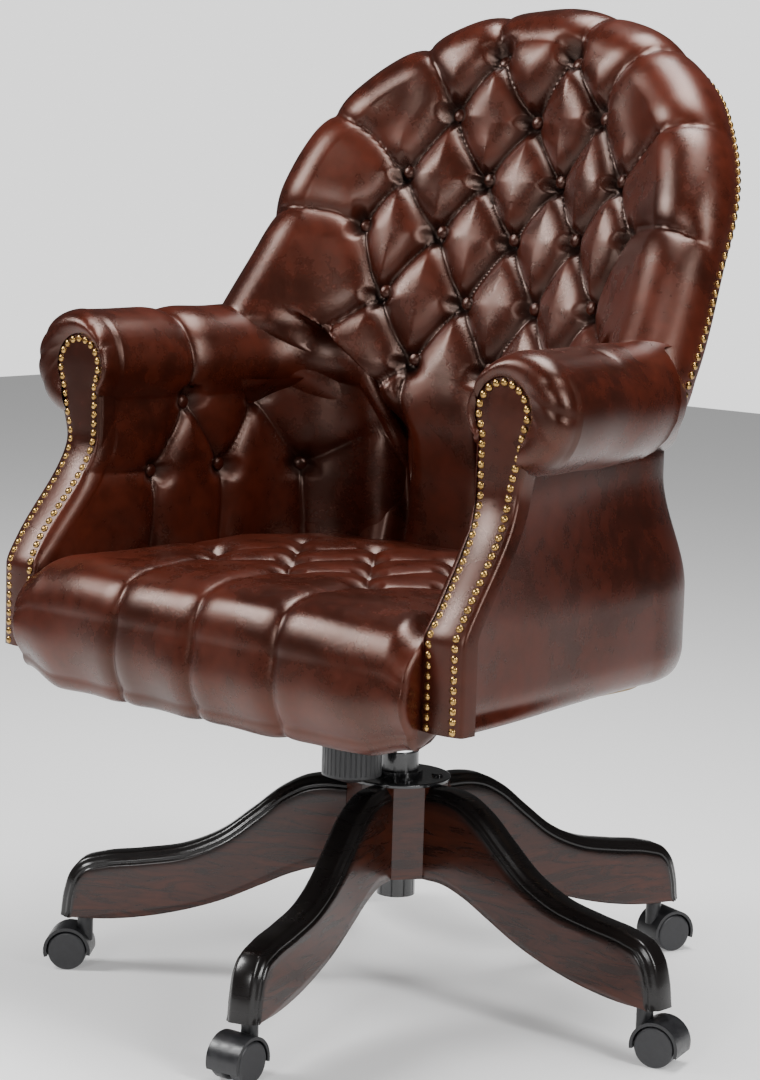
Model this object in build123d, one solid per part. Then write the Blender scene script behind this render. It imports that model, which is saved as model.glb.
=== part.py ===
from build123d import *
import math
import os

# Swivel office chair, millimetres. +Z is up, -Y is the front of the seat, and the
# origin is on the floor under the lift column.

# ---- overall sizes ------------------------------------------------------------
leg_reach = 382.0            # column axis to the end of a leg
leg_count = 5
leg_heading = -1.1           # plan angle of the first leg, degrees
hub_top = 241.0              # top of the wooden hub and of the leg roots
hub_bottom = 138.0
seat_bottom = 371.0          # underside of the plywood seat board
seat_top = 484.0
arm_top = 750.0
back_top = 1098.0

# ---- clearances -----------------------------------------------------------------
running = 0.05               # radial clearance of a shaft that turns in its hole
axial_play = 0.3             # gap between faces that move past each other
surface_gap = 0.15           # nail heads and buttons stand this far off the leather

# ---- wooden base -----------------------------------------------------------------
leg_width = 38.0
hub_flat = 56.0              # column axis to the flat that a leg root seats on
foot_bottom = 62.0
foot_height = 72.0
foot_flat = 46.0             # level length under the foot that the castor needs
leg_edge_round = 6.0
plate_radius = 58.0
plate_thickness = 4.0
plate_boss_height = 6.0
plate_boss_width = 5.0
plate_edge_round = 1.5
hub_screw_radius = 3.0
hub_screw_head_radius = 6.5
hub_screw_head_height = 2.6
hub_screw_head_round = 1.2
hub_screw_length = 30.0
hub_screw_circle = 43.0

# ---- castors ----------------------------------------------------------------------
castor_radius = 355.0        # column axis to the castor stems
castor_trail = 18.0
wheel_radius = 22.0
wheel_width = 16.5
wheel_edge_round = 3.0
web_thickness = 6.0
wheel_side_gap = 0.6
hood_gap = 1.3               # wheel tread to the inside of the hood
hood_wall = 3.6
hood_wrap = 206.0            # how far the hood reaches round the wheels, degrees
hood_lean = 4.0
stem_radius = 5.0
stem_boss_radius = 9.0
stem_insert = 34.0           # length of stem inside the leg
stem_in_boss = 17.5          # length of stem inside the castor's boss
stem_flange = 1.8            # how far the flange under the leg stands out from the stem
stem_flange_height = 2.3
boss_gap = 3.0               # castor boss to the underside of the leg
socket_wall = 2.0
axle_radius = 2.5
axle_blind = 3.5             # wheel face left closed over the end of the axle
axle_end_gap = 0.5
castor_headings = [16.0, 0.0, -4.0, 3.0, -12.0]   # swivel at rest, from straight out

# ---- gas lift ---------------------------------------------------------------------
cylinder_radius = 18.2
cylinder_wall = 3.2
cylinder_bottom = 132.0
outer_tube_radius = 21.6
outer_tube_wall = 2.0
outer_tube_bottom = 108.0
outer_tube_top = 272.0
outer_tube_floor = 4.0
outer_tube_recess = 9.0      # depth of the recess under the tube's floor
hub_sleeve_wall = 4.0
bush_length = 40.0
rod_radius = 5.0
rod_neck_radius = 4.0
piston_height = 10.0
lift_stroke = 80.0
piston_rest = 40.0           # piston to the end of its stroke when the seat is down
rod_end_rise = 2.0           # rod's lower end above the mouth of the tube
cylinder_head_depth = 26.0   # solid upper end of the cylinder, round the valve
cylinder_edge = 1.5
cylinder_top_drop = 4.0      # cylinder top below the rim of the tray
gland_height = 12.0
bearing_height = 5.0
bearing_radius = 12.0
clip_thickness = 2.0
clip_radius = 8.0

# ---- tilt mechanism ----------------------------------------------------------------
mech_half_width = 52.0
mech_front = -112.0
mech_rear = 72.0
mech_floor = 340.0
mech_sheet = 3.0
mech_wall_top = 360.0
mech_socket_radius = 26.0
mech_socket_low = 326.0      # lower rim of the socket, under the tray
mech_socket_drop = 6.0       # socket's upper rim below the cylinder's top
plate_corner_round = 12.0
tilt_y = 42.0
tilt_z = 352.0
tilt_pin_radius = 5.0
seat_plate_half_x = 100.0
seat_plate_front = -128.0
seat_plate_rear = 120.0
seat_plate_thickness = 4.0
ear_thickness = 4.0
ear_radius = 14.0
seat_bolt_inset = 18.0
seat_bolt_radius = 4.0
seat_bolt_head_radius = 7.0
seat_bolt_head_height = 5.0
knob_y = -80.0
knob_radius = 33.0
knob_bottom = 250.0
knob_cone = 7.0              # depth of the shallow conical underside
knob_top = 306.0
knob_wall = 4.0
knob_floor = 5.0
knob_ribs = 36
tension_bolt_radius = 4.0
tension_bolt_head_radius = 9.0
tension_bolt_head_height = 4.0
spring_radius = 19.0
spring_wire_radius = 2.4
spring_turns = 7
lever_pivot_x = -42.0
lever_pivot_z = 355.5
lever_pin_radius = 2.5
lever_height = 361.0         # flat inner part of the lever
lever_drop = 28.0            # how far the lever's outer part is cranked down
lever_thickness = 3.0
lever_width = 14.0
lever_crank = 118.0          # column axis to the crank
lever_reach = 282.0
lever_lug_half = 4.0
grip_overhang = 12.0
grip_end_round = 5.0
grip_length = 58.0
grip_radius = 8.0
valve_radius = 4.5
valve_height = 5.0

# ---- seat and upholstery --------------------------------------------------------------
board_thickness = 18.0
board_half_x = 262.0
board_front = -262.0
board_rear = 148.0
board_corner_radius = 90.0
dust_cover_thickness = 1.0
dust_cover_inset = 2.0
dust_cover_gap = 1.0         # cloth to the edge of the seat plate
seat_half_x = 264.0          # seat cushion between the arm walls
seat_front_half_x = 280.0    # front roll between the facings
seat_front = -322.0
seat_roll_bottom = 346.0
seat_roll_depth = 54.0
seat_roll_round = 26.0
seat_rear = 118.0
seat_corner_radius = 70.0
arm_wall_bottom = 381.0
arm_wall_half = 326.0        # outer face of the arm walls at the bottom
arm_wall_waist = 300.0       # outer face at the waist, under the scroll
arm_waist_z = 600.0
arm_wall_inner = 268.0
arm_scroll_x = 305.0
arm_scroll_radius = 62.0
arm_rear = 96.0
arm_corner_front = 84.0        # inner corner between an arm and the back
arm_corner_rear = 150.0
arm_corner_top = 640.0
facing_front = -292.0        # lower, upright part of the facing
facing_set_back = -212.0     # upper part of the facing
facing_sweep_low = 482.0     # height where the facing starts to sweep back
facing_sweep_high = 600.0
facing_thickness = 8.0
facing_inner = 283.0
facing_outer = 326.0
facing_neck_inner = 268.0
facing_neck_outer = 320.0
facing_neck_z = 635.0
facing_head_x = 303.0
facing_head_radius = 36.0
nail_radius = 4.3
nail_height = 2.6
nail_pitch = 10.8
nail_margin = 5.5            # nail centres to the edge of the facing
back_lean = 14.3             # degrees
back_front_y = 156.0         # pad surface on the centre line
back_front_z = 827.0
back_curve_radius = 400.0
back_pad_thickness = 62.0
back_shell_thickness = 26.0
back_half_width = 314.0
back_spring_z = 850.0        # where the hoop's arch springs from its sides
back_flare = 12.0            # how much wider the hoop is at arm height
back_shoulder_z = 660.0
back_inner_half = 205.0
back_pad_bottom = 486.0
rear_half_x = 300.0
rear_corner_radius = 150.0
rear_face_y = 212.0
rear_wall = 30.0
rear_wall_top = 604.0
button_radius = 9.0
button_height = 5.0
button_row_counts = [2, 3, 4, 5, 4, 3]
button_row_top = 1030.0
button_row_drop = 68.0
button_spacing = 100.0
arm_button_rows = [(658.0, [-100.0, 0.0]), (568.0, [-145.0, -45.0, 62.0])]
seat_button_rows = [(-200.0, 3), (-135.0, 4), (-70.0, 3), (-5.0, 2)]
seat_button_spacing = 100.0

UP = (Align.CENTER, Align.CENTER, Align.MIN)


def post(radius, low, high, x=0.0, y=0.0):
    """An upright cylinder between two heights."""
    return Pos(x, y, low) * Cylinder(radius, high - low, align=UP)


def block(x0, x1, y0, y1, z0, z1):
    """A box between six planes."""
    centre = Pos((x0 + x1) / 2, (y0 + y1) / 2, (z0 + z1) / 2)
    return centre * Box(x1 - x0, y1 - y0, z1 - z0)


def bar(radius, x0, x1, y, z):
    """A round bar along X."""
    return Pos((x0 + x1) / 2, y, z) * Rot(0, 90, 0) * Cylinder(radius, x1 - x0)


def between(low, high, share):
    return low + (high - low) * share


def in_plan(angle):
    return Rot(0, 0, angle)


def mirrored(shape):
    return mirror(shape, about=Plane.YZ)


def save(name, *solids):
    """Write one node; separate solids of a node stay separate."""
    pieces = []
    for item in solids:
        pieces.extend(item.solids())
    shape = pieces[0] if len(pieces) == 1 else Compound(children=pieces)
    export_step(shape, f"parts/{name}.step")
    print(name, len(pieces))


# ---- base -------------------------------------------------------------------------


def leg_angles():
    return [leg_heading + 360.0 / leg_count * index for index in range(leg_count)]


def leg():
    """One leg along +X: a level root, an S-shaped sweep down and a rounded foot."""
    root = (hub_flat, hub_bottom)
    crest = hub_flat + leg_width
    toe_start = leg_reach - foot_height * 0.62
    foot_top = foot_bottom + foot_height
    span = toe_start - crest
    top = Spline(
        (crest, hub_top),
        (crest + 0.30 * span, between(foot_top, hub_top, 0.56)),
        (crest + 0.62 * span, between(foot_top, hub_top, 0.15)),
        (toe_start, foot_top),
        tangents=[(1, 0), (1, -0.1)],
    )
    toe = Spline(
        (toe_start, foot_top),
        (leg_reach - 0.14 * foot_height, foot_bottom + 0.76 * foot_height),
        (leg_reach, foot_bottom),
        tangents=[(1, -0.1), (0.05, -1)],
    )
    heel = leg_reach - foot_flat
    under = Spline(
        (heel, foot_bottom),
        (between(hub_flat, heel, 0.66), between(foot_bottom, hub_bottom, 0.22)),
        (between(hub_flat, heel, 0.33), between(foot_bottom, hub_bottom, 0.70)),
        (hub_flat + leg_width * 0.6, hub_bottom),
        tangents=[(-1, 0.02), (-1, 0)],
    )
    outline = Wire(
        [
            Edge.make_line(root, (hub_flat, hub_top)),
            Edge.make_line((hub_flat, hub_top), (crest, hub_top)),
            *top.edges(),
            *toe.edges(),
            Edge.make_line((leg_reach, foot_bottom), (heel, foot_bottom)),
            *under.edges(),
            Edge.make_line((hub_flat + leg_width * 0.6, hub_bottom), root),
        ]
    )
    body = extrude(Plane.XZ * make_face(outline), leg_width / 2, both=True)
    crown = [edge for edge in body.edges() if edge_is_on_crown(edge)]
    body = fillet(crown, leg_edge_round)
    hole_radius = stem_radius + running + socket_wall
    body -= post(hole_radius, foot_bottom - 1, foot_bottom + stem_insert + 2, castor_radius)
    plate_land = post(plate_radius + 1, hub_top - 0.01, hub_top + 20)
    return body - plate_land


def edge_is_on_crown(edge):
    """True for the two long edges that run along the top of the leg, outside its level root."""
    middle = edge.center()
    along_side = abs(abs(middle.Y) - leg_width / 2) < 0.01
    past_root = middle.X > hub_flat + leg_width
    share = (middle.X - hub_flat) / (leg_reach - hub_flat)
    above_middle = middle.Z > between(hub_bottom, foot_bottom, share) + foot_height * 0.42
    return along_side and past_root and above_middle


def castor_socket():
    """The steel sleeve that the castor's stem turns in."""
    bore = stem_radius + running
    sleeve = post(bore + socket_wall, foot_bottom, foot_bottom + stem_insert + 2, castor_radius)
    return sleeve - post(bore, foot_bottom, foot_bottom + stem_insert + 0.5, castor_radius)


def hub_core():
    """Ten-sided wooden block: five flats carry the legs and five show between them."""
    corners = []
    for angle in leg_angles():
        for side in (-1, 1):
            corner = Vector(hub_flat, side * leg_width / 2).rotate(Axis.Z, angle)
            corners.append((corner.X, corner.Y))
    face = make_face(Polyline(*corners, close=True))
    core = Pos(0, 0, hub_bottom) * extrude(face, hub_top - hub_bottom)
    core -= post(outer_tube_radius + hub_sleeve_wall, hub_bottom, hub_top)
    for x, y in hub_screw_places():
        core -= post(hub_screw_radius, hub_top - hub_screw_length, hub_top, x, y)
    return core


def hub_screw_places():
    """One screw over each exposed flat of the hub."""
    places = []
    for angle in leg_angles():
        spot = Vector(hub_screw_circle, 0).rotate(Axis.Z, angle + 180.0 / leg_count)
        places.append((spot.X, spot.Y))
    return places


def hub_top_plate():
    """Round steel plate with a raised collar round the lift tube."""
    top = hub_top + plate_thickness
    plate = post(plate_radius, hub_top, top)
    plate = fillet(plate.edges().sort_by(Axis.Z)[-1:], plate_edge_round)
    plate += post(outer_tube_radius + plate_boss_width, top - 1, top + plate_boss_height)
    plate -= post(outer_tube_radius, hub_top, top + plate_boss_height)
    for x, y in hub_screw_places():
        plate -= post(hub_screw_radius, hub_top, top, x, y)
    return plate


def hub_screws():
    """Pan-head screws through the plate into the hub."""
    top = hub_top + plate_thickness
    screws = []
    for x, y in hub_screw_places():
        shank = post(hub_screw_radius, hub_top - hub_screw_length, top, x, y)
        head = post(hub_screw_head_radius, top, top + hub_screw_head_height, x, y)
        head = fillet(head.edges().sort_by(Axis.Z)[-1:], hub_screw_head_round)
        screws.append(shank + head)
    return screws


def hub_sleeve():
    """Steel sleeve in the hub that grips the lift's outer tube."""
    sleeve = post(outer_tube_radius + hub_sleeve_wall, hub_bottom, hub_top)
    return sleeve - post(outer_tube_radius, hub_bottom, hub_top)


# ---- gas lift ------------------------------------------------------------------------

tube_floor_low = outer_tube_bottom + outer_tube_recess
tube_floor_high = tube_floor_low + outer_tube_floor
bearing_low = tube_floor_high + axial_play
cylinder_top = mech_wall_top - cylinder_top_drop


def lift_outer_tube():
    """Black stand tube: open top, a floor near the bottom, and a recess under it."""
    inner = outer_tube_radius - outer_tube_wall
    tube = post(outer_tube_radius, outer_tube_bottom, outer_tube_top)
    tube -= post(inner, tube_floor_high, outer_tube_top)
    tube -= post(inner, outer_tube_bottom, tube_floor_low)
    return tube - post(rod_neck_radius + running, tube_floor_low, tube_floor_high)


def lift_guide_bush():
    """Plastic bush at the mouth of the stand tube."""
    low = outer_tube_top - bush_length
    bush = post(outer_tube_radius - outer_tube_wall, low, outer_tube_top)
    return bush - post(cylinder_radius + running, low, outer_tube_top)


def lift_thrust_bearing():
    ring = post(bearing_radius, bearing_low, bearing_low + bearing_height)
    return ring - post(rod_neck_radius, bearing_low, bearing_low + bearing_height)


def lift_retaining_clip():
    """Clip on the end of the rod, in the recess under the tube's floor."""
    high = tube_floor_low - axial_play
    clip = post(clip_radius, high - clip_thickness, high)
    return clip - post(rod_neck_radius, high - clip_thickness, high)


def lift_piston_rod():
    """Rod with its piston; the necked lower end carries the bearing and the clip."""
    piston_radius = cylinder_radius - cylinder_wall - running
    piston_low = cylinder_bottom + gland_height + lift_stroke + piston_rest
    shoulder = bearing_low + bearing_height
    rod = post(rod_neck_radius, outer_tube_bottom + rod_end_rise, shoulder)
    rod += post(rod_radius, shoulder, piston_low)
    return rod + post(piston_radius, piston_low, piston_low + piston_height)


def lift_cylinder():
    """Chromed pressure tube, closed at both ends, with a gland for the rod."""
    bore = cylinder_radius - cylinder_wall
    tube = post(cylinder_radius, cylinder_bottom, cylinder_top)
    tube = chamfer(tube.edges().sort_by(Axis.Z)[-1:], cylinder_edge)
    tube -= post(bore, cylinder_bottom + gland_height, cylinder_top - cylinder_head_depth)
    tube -= post(rod_radius + running, cylinder_bottom, cylinder_bottom + gland_height)
    return tube - post(valve_radius + running, cylinder_top - valve_height, cylinder_top)


def valve_button():
    """Release pin in the top of the cylinder."""
    low = cylinder_top - 1.0
    return post(valve_radius, low, lever_height - lever_thickness / 2 - 0.5)


# ---- tilt mechanism ---------------------------------------------------------------------


def mech_housing():
    """Pressed steel tray with the socket for the cylinder and holes for the pivot pin."""
    tray = block(-mech_half_width, mech_half_width, mech_front, mech_rear, mech_floor, mech_wall_top)
    inner = mech_half_width - mech_sheet
    floor = mech_floor + mech_sheet
    tray -= block(-inner, inner, mech_front + mech_sheet, mech_rear - mech_sheet, floor, mech_wall_top)
    tray += post(mech_socket_radius, mech_socket_low, cylinder_top - mech_socket_drop)
    tray -= post(cylinder_radius, mech_socket_low, cylinder_top)
    tray -= bar(tilt_pin_radius, -mech_half_width, mech_half_width, tilt_y, tilt_z)
    slot = Pos(0, knob_y - 3, mech_floor - 1) * extrude(SlotOverall(30, 14, rotation=90), mech_sheet + 2)
    tray -= slot
    gate = lever_width / 2 + 2.0
    tray -= block(-mech_half_width, -inner, -gate, gate, lever_height - 6, mech_wall_top)
    for side in (-1, 1):
        y0, y1 = sorted((side * (lever_width / 2 + axial_play), side * (lever_width / 2 + 4)))
        ear = block(lever_pivot_x - 5, lever_pivot_x + 5, y0, y1, floor, mech_wall_top)
        tray += ear
    return tray - lever_pin()


def lever_pin():
    """Pin that the height lever rocks on."""
    reach = lever_width / 2 + 4
    pin = Rot(90, 0, 0) * Cylinder(lever_pin_radius, 2 * reach)
    return Pos(lever_pivot_x, 0, lever_pivot_z) * pin


def pivot_pin():
    reach = mech_half_width + ear_thickness + 5.0
    return bar(tilt_pin_radius, -reach, reach, tilt_y, tilt_z)


def seat_plate():
    """Steel plate under the seat board; its two ears turn on the pivot pin."""
    low = seat_bottom - seat_plate_thickness
    plate = block(
        -seat_plate_half_x, seat_plate_half_x, seat_plate_front, seat_plate_rear, low, seat_bottom
    )
    plate = fillet(plate.edges().filter_by(Axis.Z), plate_corner_round)
    for side in (-1, 1):
        near = mech_half_width + axial_play
        far = near + ear_thickness
        x0, x1 = sorted((side * near, side * far))
        ear = block(x0, x1, tilt_y - ear_radius, tilt_y + ear_radius, tilt_z, low)
        ear += bar(ear_radius, x0, x1, tilt_y, tilt_z)
        above = block(x0, x1, tilt_y - ear_radius, tilt_y + ear_radius, low, low + 2 * ear_radius)
        plate += ear - above
        plate -= bar(tilt_pin_radius + running, x0, x1, tilt_y, tilt_z)
    for x, y in seat_bolt_places():
        plate -= post(seat_bolt_radius, low, seat_bottom, x, y)
    return plate - post(tension_bolt_radius, low, seat_bottom, 0, knob_y)


def seat_bolt_places():
    xs = (-seat_plate_half_x + seat_bolt_inset, seat_plate_half_x - seat_bolt_inset)
    ys = (seat_plate_front + seat_bolt_inset, seat_plate_rear - seat_bolt_inset)
    return [(x, y) for x in xs for y in ys]


def seat_bolts():
    low = seat_bottom - seat_plate_thickness
    bolts = []
    for x, y in seat_bolt_places():
        bolt = post(seat_bolt_radius, low, seat_bottom + board_thickness, x, y)
        head = Pos(x, y, low - seat_bolt_head_height) * extrude(
            RegularPolygon(seat_bolt_head_radius, 6), seat_bolt_head_height
        )
        bolts.append(bolt + head)
    return bolts


def tension_bolt():
    """Bolt from the seat plate down to the knob; tilting the seat lifts it."""
    head_low = seat_bottom
    bolt = post(tension_bolt_radius, knob_bottom + knob_cone, head_low, 0, knob_y)
    head = post(tension_bolt_head_radius, head_low, head_low + tension_bolt_head_height, 0, knob_y)
    return bolt + head


def tension_knob():
    """Ribbed cup with a shallow conical underside, turning on the tension bolt."""
    low = knob_bottom + knob_cone
    cup = post(knob_radius, low, knob_top)
    cup += Pos(0, 0, low) * Rot(180, 0, 0) * Cone(knob_radius, knob_radius * 0.42, knob_cone, align=UP)
    cup -= post(knob_radius - knob_wall, low + knob_floor, knob_top)
    cup -= post(tension_bolt_radius + running, low, low + knob_floor)
    for index in range(knob_ribs):
        groove = post(0.9, low + 3, knob_top + 1, knob_radius + 0.1)
        cup -= in_plan(360.0 / knob_ribs * index) * groove
    return Pos(0, knob_y, 0) * cup


def tilt_spring():
    """Compression spring between the knob's cup and the floor of the tray."""
    low = knob_bottom + knob_cone + knob_floor + spring_wire_radius + axial_play
    high = mech_floor - spring_wire_radius - axial_play
    path = Helix(pitch=(high - low) / spring_turns, height=high - low, radius=spring_radius)
    section = Plane(origin=path @ 0, z_dir=path % 0) * Circle(spring_wire_radius)
    return Pos(0, knob_y, low) * sweep(section, path, is_frenet=True)


def height_lever():
    """Flat steel lever: the inner end presses the valve and the cranked end holds the grip."""
    low = lever_height - lever_thickness / 2
    crank_out = -lever_crank - lever_drop
    centre_line = (
        (2.0, low),
        (-lever_crank, low),
        (crank_out, low - lever_drop),
        (-lever_reach, low - lever_drop),
    )
    upper = [(x, z + lever_thickness) for x, z in reversed(centre_line)]
    face = make_face(Polyline(*centre_line, *upper, close=True))
    arm = extrude(Plane.XZ * face, lever_width / 2, both=True)
    arm += block(
        lever_pivot_x - lever_lug_half, lever_pivot_x + lever_lug_half,
        -lever_width / 2, lever_width / 2, lever_pivot_z - lever_lug_half, low,
    )
    bore = Rot(90, 0, 0) * Cylinder(lever_pin_radius + running, lever_width + 2)
    return arm - Pos(lever_pivot_x, 0, lever_pivot_z) * bore


def lever_grip():
    """Moulded grip over the lever's outer end."""
    start = -lever_reach - grip_overhang
    z = lever_height - lever_drop
    grip = bar(grip_radius, start, start + grip_length, 0, z)
    grip = fillet(grip.edges().filter_by(GeomType.CIRCLE), grip_end_round)
    half = lever_width / 2
    thick = lever_thickness / 2
    return grip - block(-lever_reach, start + grip_length, -half, half, z - thick, z + thick)


# ---- castors ------------------------------------------------------------------------------
# Each is drawn with its stem at the origin and its wheels trailing towards +X.


def across(radius, y0, y1):
    """A cylinder about the axle, between two planes across the castor."""
    centre = Pos(castor_trail, (y0 + y1) / 2, wheel_radius)
    return centre * Rot(90, 0, 0) * Cylinder(radius, y1 - y0)


wheel_near = web_thickness / 2 + wheel_side_gap
wheel_far = wheel_near + wheel_width


def castor_hood():
    """Curved fender over both wheels, the web between them and the boss for the stem."""
    outer = wheel_radius + hood_gap + hood_wall
    hood = across(outer, -wheel_far, wheel_far)
    wedge = math.radians(hood_wrap / 2)
    reach = 3 * outer
    side_x = reach * math.sin(wedge)
    side_z = reach * math.cos(wedge)
    mask = make_face(
        Polyline((0, 0), (-side_x, side_z), (-reach, reach), (reach, reach), (side_x, side_z), close=True)
    )
    sector = extrude(Plane.XZ * mask, wheel_far + 1, both=True)
    hood = hood & (Pos(castor_trail, 0, wheel_radius) * Rot(0, hood_lean, 0) * sector)
    boss_top = foot_bottom - boss_gap
    hood += post(stem_boss_radius, wheel_radius + 10, boss_top)
    for side in (-1, 1):
        y0, y1 = sorted((side * web_thickness / 2, side * (wheel_far + 2)))
        hood -= across(wheel_radius + hood_gap, y0, y1)
    hood += across(wheel_radius * 0.62, -web_thickness / 2, web_thickness / 2)
    hood -= across(axle_radius, -web_thickness, web_thickness)
    return hood - post(stem_radius, stem_foot, boss_top)


stem_foot = foot_bottom - boss_gap - stem_in_boss


def castor_pins():
    """The upright stem and the axle, two separate steel pins."""
    stem = post(stem_radius, stem_foot, foot_bottom + stem_insert)
    flange_top = foot_bottom - axial_play
    stem += post(stem_radius + stem_flange, flange_top - stem_flange_height, flange_top)
    axle_half = wheel_far - axle_blind - axle_end_gap
    return stem, across(axle_radius, -axle_half, axle_half)


def castor_wheel(side):
    y0, y1 = sorted((side * wheel_near, side * wheel_far))
    wheel = across(wheel_radius, y0, y1)
    wheel = fillet(wheel.edges().filter_by(GeomType.CIRCLE), wheel_edge_round)
    b0, b1 = sorted((side * wheel_near, side * (wheel_far - axle_blind)))
    return wheel - across(axle_radius + running, b0, b1)


# ---- upholstered body ------------------------------------------------------------------------


def round_rear_corners(shape, rear, radius):
    """Round the two upright edges at the rear, to clear the corners of the rear wall."""
    upright = [edge for edge in shape.edges().filter_by(Axis.Z) if edge.center().Y > rear - 1]
    return fillet(upright, radius)


def seat_board():
    low = seat_bottom
    board = block(-board_half_x, board_half_x, board_front, board_rear, low, low + board_thickness)
    board = round_rear_corners(board, board_rear, board_corner_radius)
    for x, y in seat_bolt_places():
        board -= post(seat_bolt_radius, low, low + board_thickness, x, y)
    return board - post(tension_bolt_head_radius, low, low + tension_bolt_head_height, 0, knob_y)


def dust_cover():
    """Black cloth under the board, round the seat plate."""
    low = seat_bottom - dust_cover_thickness
    edge = dust_cover_inset
    rear = board_rear - edge
    cover = block(-board_half_x + edge, board_half_x - edge, board_front + edge, rear, low, seat_bottom)
    cover = round_rear_corners(cover, rear, board_corner_radius - edge)
    gap = dust_cover_gap
    return cover - block(
        -seat_plate_half_x - gap, seat_plate_half_x + gap,
        seat_plate_front - gap, seat_plate_rear + gap, low, seat_bottom,
    )


def seat_cushion():
    """Seat pad on the board with a deeper roll in front of it, between the facings."""
    board_top = seat_bottom + board_thickness
    roll_rear = seat_front + seat_roll_depth
    pad = block(-seat_half_x, seat_half_x, roll_rear, seat_rear, board_top, seat_top)
    pad = round_rear_corners(pad, seat_rear, seat_corner_radius)
    roll = block(
        -seat_front_half_x, seat_front_half_x, seat_front, roll_rear, seat_roll_bottom, seat_top
    )
    nose = [edge for edge in roll.edges().filter_by(Axis.X) if edge.center().Y < seat_front + 1]
    roll = fillet(nose, seat_roll_round)
    return pad + roll


def facing_side():
    """Side view of the space behind the facings: upright, then swept back in an S."""
    rear = arm_rear
    middle_y = (facing_front + facing_set_back) / 2
    middle_z = between(facing_sweep_low, facing_sweep_high, 0.36)
    sweep_line = Spline(
        (facing_front, facing_sweep_low),
        (middle_y, middle_z),
        (facing_set_back, facing_sweep_high),
        tangents=[(0.55, 1), (0.02, 1)],
    )
    top = arm_top + 40
    low = arm_wall_bottom - 60
    wire = Wire(
        [
            Edge.make_line((facing_front, low), (facing_front, facing_sweep_low)),
            *sweep_line.edges(),
            Edge.make_line((facing_set_back, facing_sweep_high), (facing_set_back, top)),
            Edge.make_line((facing_set_back, top), (rear, top)),
            Edge.make_line((rear, top), (rear, low)),
            Edge.make_line((rear, low), (facing_front, low)),
        ]
    )
    return make_face(wire)


def behind_front(setback):
    """Everything behind the facings' front surface, moved back by setback."""
    return Pos(0, setback, 0) * extrude(Plane.YZ * facing_side(), 2 * arm_wall_half, both=True)


def facing_outline(margin=0.0):
    """Front view of one facing: a narrow blade that opens into a round scroll head."""
    head_z = arm_top - arm_scroll_radius
    inner = facing_inner + margin
    outer = facing_outer - margin
    radius = facing_head_radius - margin
    left = (facing_head_x - radius, head_z)
    right = (facing_head_x + radius, head_z)
    neck_in = (facing_neck_inner + margin, facing_neck_z)
    neck_out = (facing_neck_outer - margin, facing_neck_z)
    return (
        Edge.make_line((inner, arm_wall_bottom), (inner, facing_sweep_low)),
        Spline((inner, facing_sweep_low), neck_in, left, tangents=[(0, 1), (0, 1)]).edge(),
        ThreePointArc(left, (facing_head_x, head_z + radius), right).edge(),
        Spline(right, neck_out, (outer, facing_sweep_low), tangents=[(0, -1), (0, -1)]).edge(),
        Edge.make_line((outer, facing_sweep_low), (outer, arm_wall_bottom)),
        Edge.make_line((outer, arm_wall_bottom), (inner, arm_wall_bottom)),
    )


def facing():
    """Upholstered board on the front of an arm, following the swept front."""
    blank = extrude(Plane.XZ * make_face(Wire(facing_outline())), 2 * abs(facing_front), both=True)
    return (blank & behind_front(0)) - behind_front(facing_thickness)


def front_y(height):
    """Height to front surface of the facing, read from its side outline."""
    if height <= facing_sweep_low:
        return facing_front
    if height >= facing_sweep_high:
        return facing_set_back
    probe = Edge.make_line((-2000, height), (arm_rear - 1, height))
    cut = facing_side().intersect(probe)
    return cut.vertices().sort_by(Axis.X)[0].X


def nail(x, y, z, lean):
    """Domed nail head on the facing, turned to lie on the sloping surface."""
    cap_radius = (nail_radius**2 + nail_height**2) / (2 * nail_height)
    dome = Pos(0, 0, nail_height - cap_radius) * Sphere(cap_radius)
    dome &= Cylinder(nail_radius, nail_height, align=UP)
    return Pos(x, y - surface_gap, z) * Rot(90 - lean, 0, 0) * dome


def facing_nails():
    """Evenly spaced nails up one side of the facing, round the head and down the other."""
    line = Wire(facing_outline(nail_margin)[:5])
    count = round((line.length - nail_pitch) / nail_pitch)
    nails = []
    for index in range(count + 1):
        point = line @ ((index + 0.5) / (count + 1))
        step = 2.0
        slope = front_y(point.Y + step) - front_y(point.Y - step)
        lean = math.degrees(math.atan2(slope, 2 * step))
        nails.append(nail(point.X, front_y(point.Y), point.Y, lean))
    return nails


def arm():
    """Arm pad: an upright wall that narrows to a waist under a round scroll."""
    waist_in = arm_wall_inner - 18
    wall = make_face(
        Polyline(
            (arm_wall_inner, arm_wall_bottom),
            (arm_wall_half - 1, arm_wall_bottom),
            (arm_wall_half - 1, facing_sweep_low),
            (arm_wall_waist, arm_waist_z),
            (arm_wall_waist, arm_top - arm_scroll_radius),
            (waist_in, arm_top - arm_scroll_radius),
            (waist_in, arm_waist_z),
            (arm_wall_inner, facing_sweep_low),
            close=True,
        )
    )
    scroll = Pos(arm_scroll_x, arm_top - arm_scroll_radius) * Circle(arm_scroll_radius)
    section = wall + scroll
    body = extrude(Plane.XZ * section, 2 * abs(facing_front), both=True)
    body &= behind_front(facing_thickness)
    roll_rear = seat_front + seat_roll_depth
    roll_zone = block(0, seat_front_half_x, seat_front, roll_rear, seat_roll_bottom, seat_top)
    corner = block(
        back_inner_half, arm_wall_waist - 5, arm_corner_front, arm_corner_rear, seat_top + 2, arm_corner_top
    )
    return body + corner - roll_zone - seat_board()


def lean_cylinder(radius):
    """A cylinder that leans back with the backrest; its rear face is the back's curve."""
    lean = math.radians(back_lean)
    y = back_front_y - back_curve_radius * math.cos(lean)
    z = back_front_z + back_curve_radius * math.sin(lean)
    return Pos(0, y, z) * Rot(-back_lean, 0, 0) * Cylinder(radius, 2400)


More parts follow.
